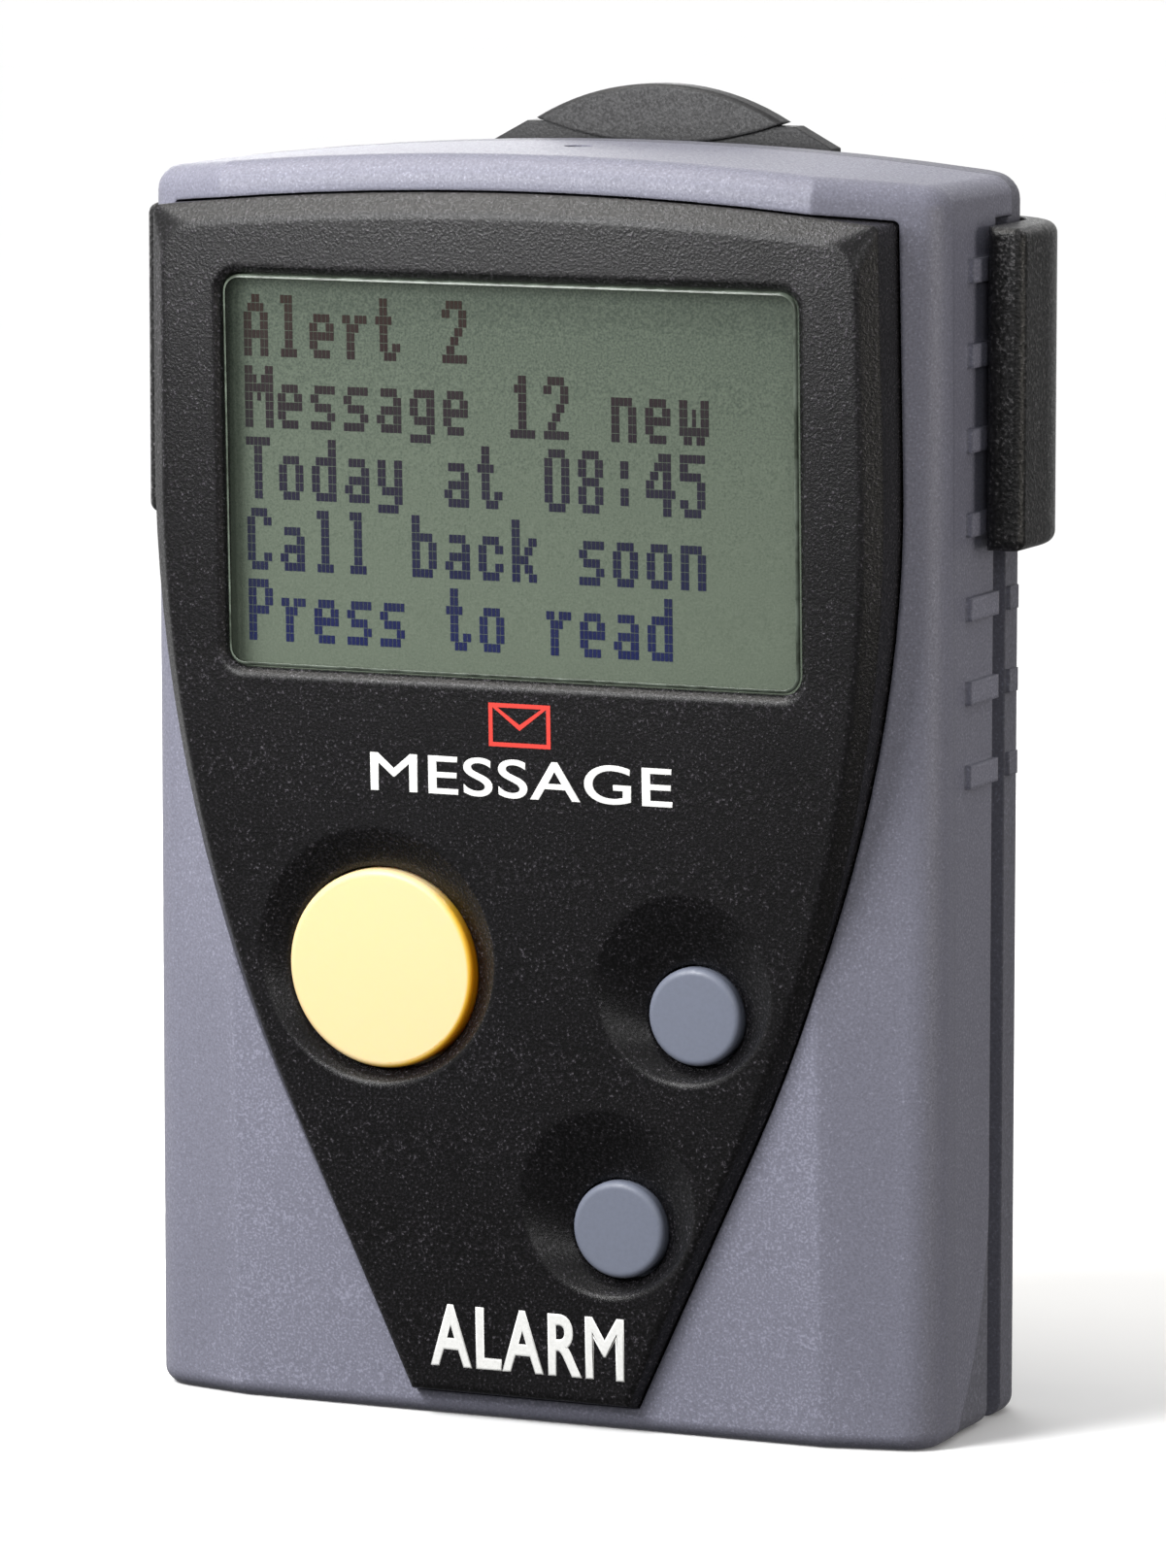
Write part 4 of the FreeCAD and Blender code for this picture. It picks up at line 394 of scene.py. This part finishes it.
def display_dots():
    """Every dark dot of the display as a thin raised plate on the liquid-crystal panel."""
    thickness = 0.03 * MM
    verts, faces = [], []
    for column, row in driven_dots():
        left = TEXT_LEFT + column * DOT_PITCH_X + DOT_GAP_X / 2
        right = left + DOT_PITCH_X - DOT_GAP_X
        top = TEXT_TOP - row * DOT_PITCH_Z - DOT_GAP_Z / 2
        bottom = top - DOT_PITCH_Z + DOT_GAP_Z
        first = len(verts)
        for depth in (0.0, thickness):
            for x, z in ((left, bottom), (right, bottom), (right, top), (left, top)):
                verts.append((x, face_y(z, LCD_BEHIND - depth), z))
        faces.append([first + i for i in (4, 5, 6, 7)])
        for i in range(4):
            j = (i + 1) % 4
            faces.append([first + i, first + j, first + 4 + j, first + 4 + i])
    mesh_piece("display_dots", verts, faces, display_ink())


# ---------------------------------------------------------------- printed legends
INK_THICKNESS = 0.025 * MM


def legend(name, words, x, z, cap_height, width, weight, material):
    """A word printed on the mask, centred at (x, z), its strokes widened by weight."""
    curve = bpy.data.curves.new(name, "FONT")
    curve.body = words
    curve.align_x = "CENTER"
    curve.align_y = "CENTER"
    curve.extrude = 0.5
    curve.bevel_depth = weight
    curve.space_character = 1 + 5 * weight
    curve.bevel_resolution = 0
    text = bpy.data.objects.new(name, curve)
    bpy.context.collection.objects.link(text)
    bpy.context.view_layer.update()
    evaluated = text.evaluated_get(bpy.context.evaluated_depsgraph_get())
    mesh = bpy.data.meshes.new_from_object(evaluated)
    bpy.data.objects.remove(text)
    xs = [v.co.x for v in mesh.vertices]
    ys = [v.co.y for v in mesh.vertices]
    middle = Vector(((max(xs) + min(xs)) / 2, (max(ys) + min(ys)) / 2, 0))
    size = Matrix.Diagonal((width / (max(xs) - min(xs)), cap_height / (max(ys) - min(ys)),
                            INK_THICKNESS, 1))
    place = leaning_matrix(x, z, -INK_THICKNESS * 0.5)
    mesh.transform(place @ size @ Matrix.Translation(-middle))
    mesh.materials.clear()
    piece = linked_object(name, mesh, material)
    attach(piece, "pager")


def rounded_rectangle(width, low, high, radius, steps=6):
    """Points of a rounded rectangle about X = 0, anticlockwise from its lower right corner."""
    points = []
    corners = ((width / 2, low, -90), (width / 2, high, 0), (-width / 2, high, 90),
               (-width / 2, low, 180))
    for x, z, start in corners:
        centre = Vector((x - math.copysign(radius, x), z + (radius if z == low else -radius)))
        for step in range(steps + 1):
            angle = math.radians(start + 90 * step / steps)
            points.append(centre + radius * Vector((math.cos(angle), math.sin(angle))))
    return points


def lens_rim():
    """Thin polished ring along the window's bevelled edge, four loops round.

    Each loop has its inset from the window's edge and its depth behind the mask, in millimetres.
    """
    low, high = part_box("display_lens")
    corner_radius = 1.28
    insets_and_depths = ((0.02, 0.52), (0.07, 0.42), (0.22, 0.285), (0.26, 0.30))
    verts, faces = [], []
    for inset, depth in insets_and_depths:
        shape = rounded_rectangle(high.x - low.x - 2 * inset * MM, low.z + inset * MM,
                                  high.z - inset * MM, (corner_radius - inset) * MM)
        verts += [(p.x, face_y(p.y, depth * MM), p.y) for p in shape]
        count = len(shape)
    for ring in range(len(insets_and_depths) - 1):
        for i in range(count):
            j = (i + 1) % count
            faces.append([ring * count + i, ring * count + j,
                          (ring + 1) * count + j, (ring + 1) * count + i])
    # The ring's pale green is painted light: the glow along the window's bevelled edge.
    mesh_piece("lens_rim", verts, faces, lens_edge(), smooth=True)


def flat_icon(name, outlines, x, z, material):
    """Printed shapes given as outlines in millimetres about their own middle."""
    verts, faces = [], []
    for outline in outlines:
        first = len(verts)
        count = len(outline)
        for depth in (0.0, -INK_THICKNESS):
            verts += [(x + u * MM, face_y(z + v * MM, depth), z + v * MM) for u, v in outline]
        faces.append(list(range(first + count, first + 2 * count)))
        for i in range(count):
            j = (i + 1) % count
            faces.append([first + i, first + j, first + count + j, first + count + i])
    mesh_piece(name, verts, faces, material)


def envelope():
    """Outlines of an envelope drawn in bars: its border and the two edges of its flap."""
    w, h, bar = 2.3, 1.5, 0.3
    flap_low, flap_high = -0.35, 0.05
    slant = 2.2 * bar
    return [
        [(-w, -h), (w, -h), (w, -h + bar), (-w, -h + bar)],
        [(-w, h - bar), (w, h - bar), (w, h), (-w, h)],
        [(-w, -h + bar), (-w + bar, -h + bar), (-w + bar, h - bar), (-w, h - bar)],
        [(w - bar, -h + bar), (w, -h + bar), (w, h - bar), (w - bar, h - bar)],
        [(-w + bar, h - bar), (0, flap_low), (0, flap_high), (-w + slant, h - bar)],
        [(w - slant, h - bar), (0, flap_high), (0, flap_low), (w - bar, h - bar)],
    ]


def legends():
    """Everything printed on the mask: two generic words and a generic icon."""
    white_ink = printed("white_ink", (0.86, 0.86, 0.84))
    red_ink = printed("red_ink", (0.72, 0.045, 0.03))
    message_x, message_z, icon_z = 0.8 * MM, 45.2 * MM, 48.9 * MM
    alarm_x, alarm_z = 0.7 * MM, 6.0 * MM
    legend("message_legend", "MESSAGE", message_x, message_z, cap_height=2.7 * MM,
           width=22.5 * MM, weight=0.008, material=white_ink)
    flat_icon("message_icon", envelope(), message_x, icon_z, red_ink)
    legend("alarm_legend", "ALARM", alarm_x, alarm_z, cap_height=4.4 * MM,
           width=14.6 * MM, weight=0.025, material=white_ink)


# ---------------------------------------------------------------- studio
MIDDLE_HEIGHT = 45 * MM


def sky():
    """Studio walls: white to the camera, and to the object brightest above, on the left."""
    world = bpy.data.worlds.new("studio")
    bpy.context.scene.world = world
    world.use_nodes = True
    tree = world.node_tree
    walls = tree.nodes["Background"]
    walls.inputs["Color"].default_value = (1, 1, 1, 1)
    backdrop = tree.nodes.new("ShaderNodeBackground")
    backdrop.inputs["Color"].default_value = (1, 1, 1, 1)
    place = tree.nodes.new("ShaderNodeTexCoord")
    along = tree.nodes.new("ShaderNodeVectorMath")
    along.operation = "DOT_PRODUCT"
    along.inputs[1].default_value = Vector((-0.6, 0.25, 0.76)).normalized()
    level = tree.nodes.new("ShaderNodeMapRange")
    level.inputs["From Min"].default_value = -0.15
    level.inputs["From Max"].default_value = 0.9
    level.inputs["To Min"].default_value = 0.12
    level.inputs["To Max"].default_value = 1.08
    tree.links.new(place.outputs["Generated"], along.inputs[0])
    tree.links.new(along.outputs["Value"], level.inputs["Value"])
    tree.links.new(level.outputs["Result"], walls.inputs["Strength"])
    seen = tree.nodes.new("ShaderNodeLightPath")
    mix = tree.nodes.new("ShaderNodeMixShader")
    tree.links.new(seen.outputs["Is Camera Ray"], mix.inputs[0])
    tree.links.new(walls.outputs[0], mix.inputs[1])
    tree.links.new(backdrop.outputs[0], mix.inputs[2])
    tree.links.new(mix.outputs[0], tree.nodes["World Output"].inputs[0])


def paper_floor():
    """Pale floor that only shows itself: it throws no light back at the object."""
    bpy.ops.mesh.primitive_circle_add(vertices=96, radius=30, fill_type="NGON")
    floor = bpy.context.object
    floor.name = "floor"
    floor.visible_diffuse = False
    floor.visible_glossy = False
    m = Material("floor_paper")
    grain = m.noise(40 * MM, 4.0)
    m.set(Base_Color=m.ramp(grain, (0.3, (0.95, 0.95, 0.95)), (0.7, (0.97, 0.97, 0.97))),
          Roughness=0.8)
    floor.data.materials.append(m.data)


def lights():
    """A broad light from the upper left, a softbox near the display and four panels."""
    sun = bpy.data.lights.new("broad_light", "SUN")
    sun.energy = 1.42
    sun.angle = math.radians(14)
    aim(sun, Vector((-0.42, -0.55, 0.8)) * 2)
    box = bpy.data.lights.new("softbox", "AREA")
    box.size = 0.06
    box.energy = 0.19
    aim(box, (-0.05, -0.125, 0.064)).visible_camera = False
    warm, white = (1.0, 0.95, 0.87), (1.0, 1.0, 1.0)
    for name, energy, colour, position in (("overhead", 0.42, warm, (-0.14, -0.04, 0.34)),
                                           ("side_fill", 0.42, warm, (0.38, -0.04, 0.04)),
                                           ("front_fill", 0.23, white, (0.22, -0.34, 0.1)),
                                           ("back_fill", 0.3, white, (-0.22, 0.36, 0.08))):
        panel = bpy.data.lights.new(name, "AREA")
        panel.size = 0.16
        panel.energy = energy
        panel.color = colour
        aim(panel, position).visible_camera = False


def aim(lamp, position):
    """Puts a lamp at a place measured from the middle of the object, facing it."""
    placed = bpy.data.objects.new(lamp.name, lamp)
    placed.location = Vector((0, 0, MIDDLE_HEIGHT)) + Vector(position)
    placed.rotation_mode = "QUATERNION"
    placed.rotation_quaternion = (-Vector(position)).to_track_quat("-Z", "Y")
    bpy.context.collection.objects.link(placed)
    return placed


def camera():
    """A long lens at the height of the display, looking from the front right."""
    azimuth = math.radians(23.74)
    elevation = math.radians(7.75)
    painted_glow_side = Vector((math.sin(azimuth) * math.cos(elevation),
                   -math.cos(azimuth) * math.cos(elevation), math.sin(elevation)))
    lens = bpy.data.cameras.new("camera")
    lens.lens = 193.84
    lens.sensor_width = 36
    lens.sensor_fit = "AUTO"
    lens.clip_start = 0.05
    lens.clip_end = 60
    eye = bpy.data.objects.new("camera", lens)
    eye.location = Vector((233.81, -533.91, 122.35)) * MM
    eye.rotation_mode = "QUATERNION"
    eye.rotation_quaternion = (-painted_glow_side).to_track_quat("-Z", "Y")
    bpy.context.collection.objects.link(eye)
    bpy.context.scene.camera = eye


finish_nodes()
display_dots()
lens_rim()
legends()
paper_floor()
sky()
lights()
camera()
bpy.context.scene.view_settings.view_transform = "Standard"
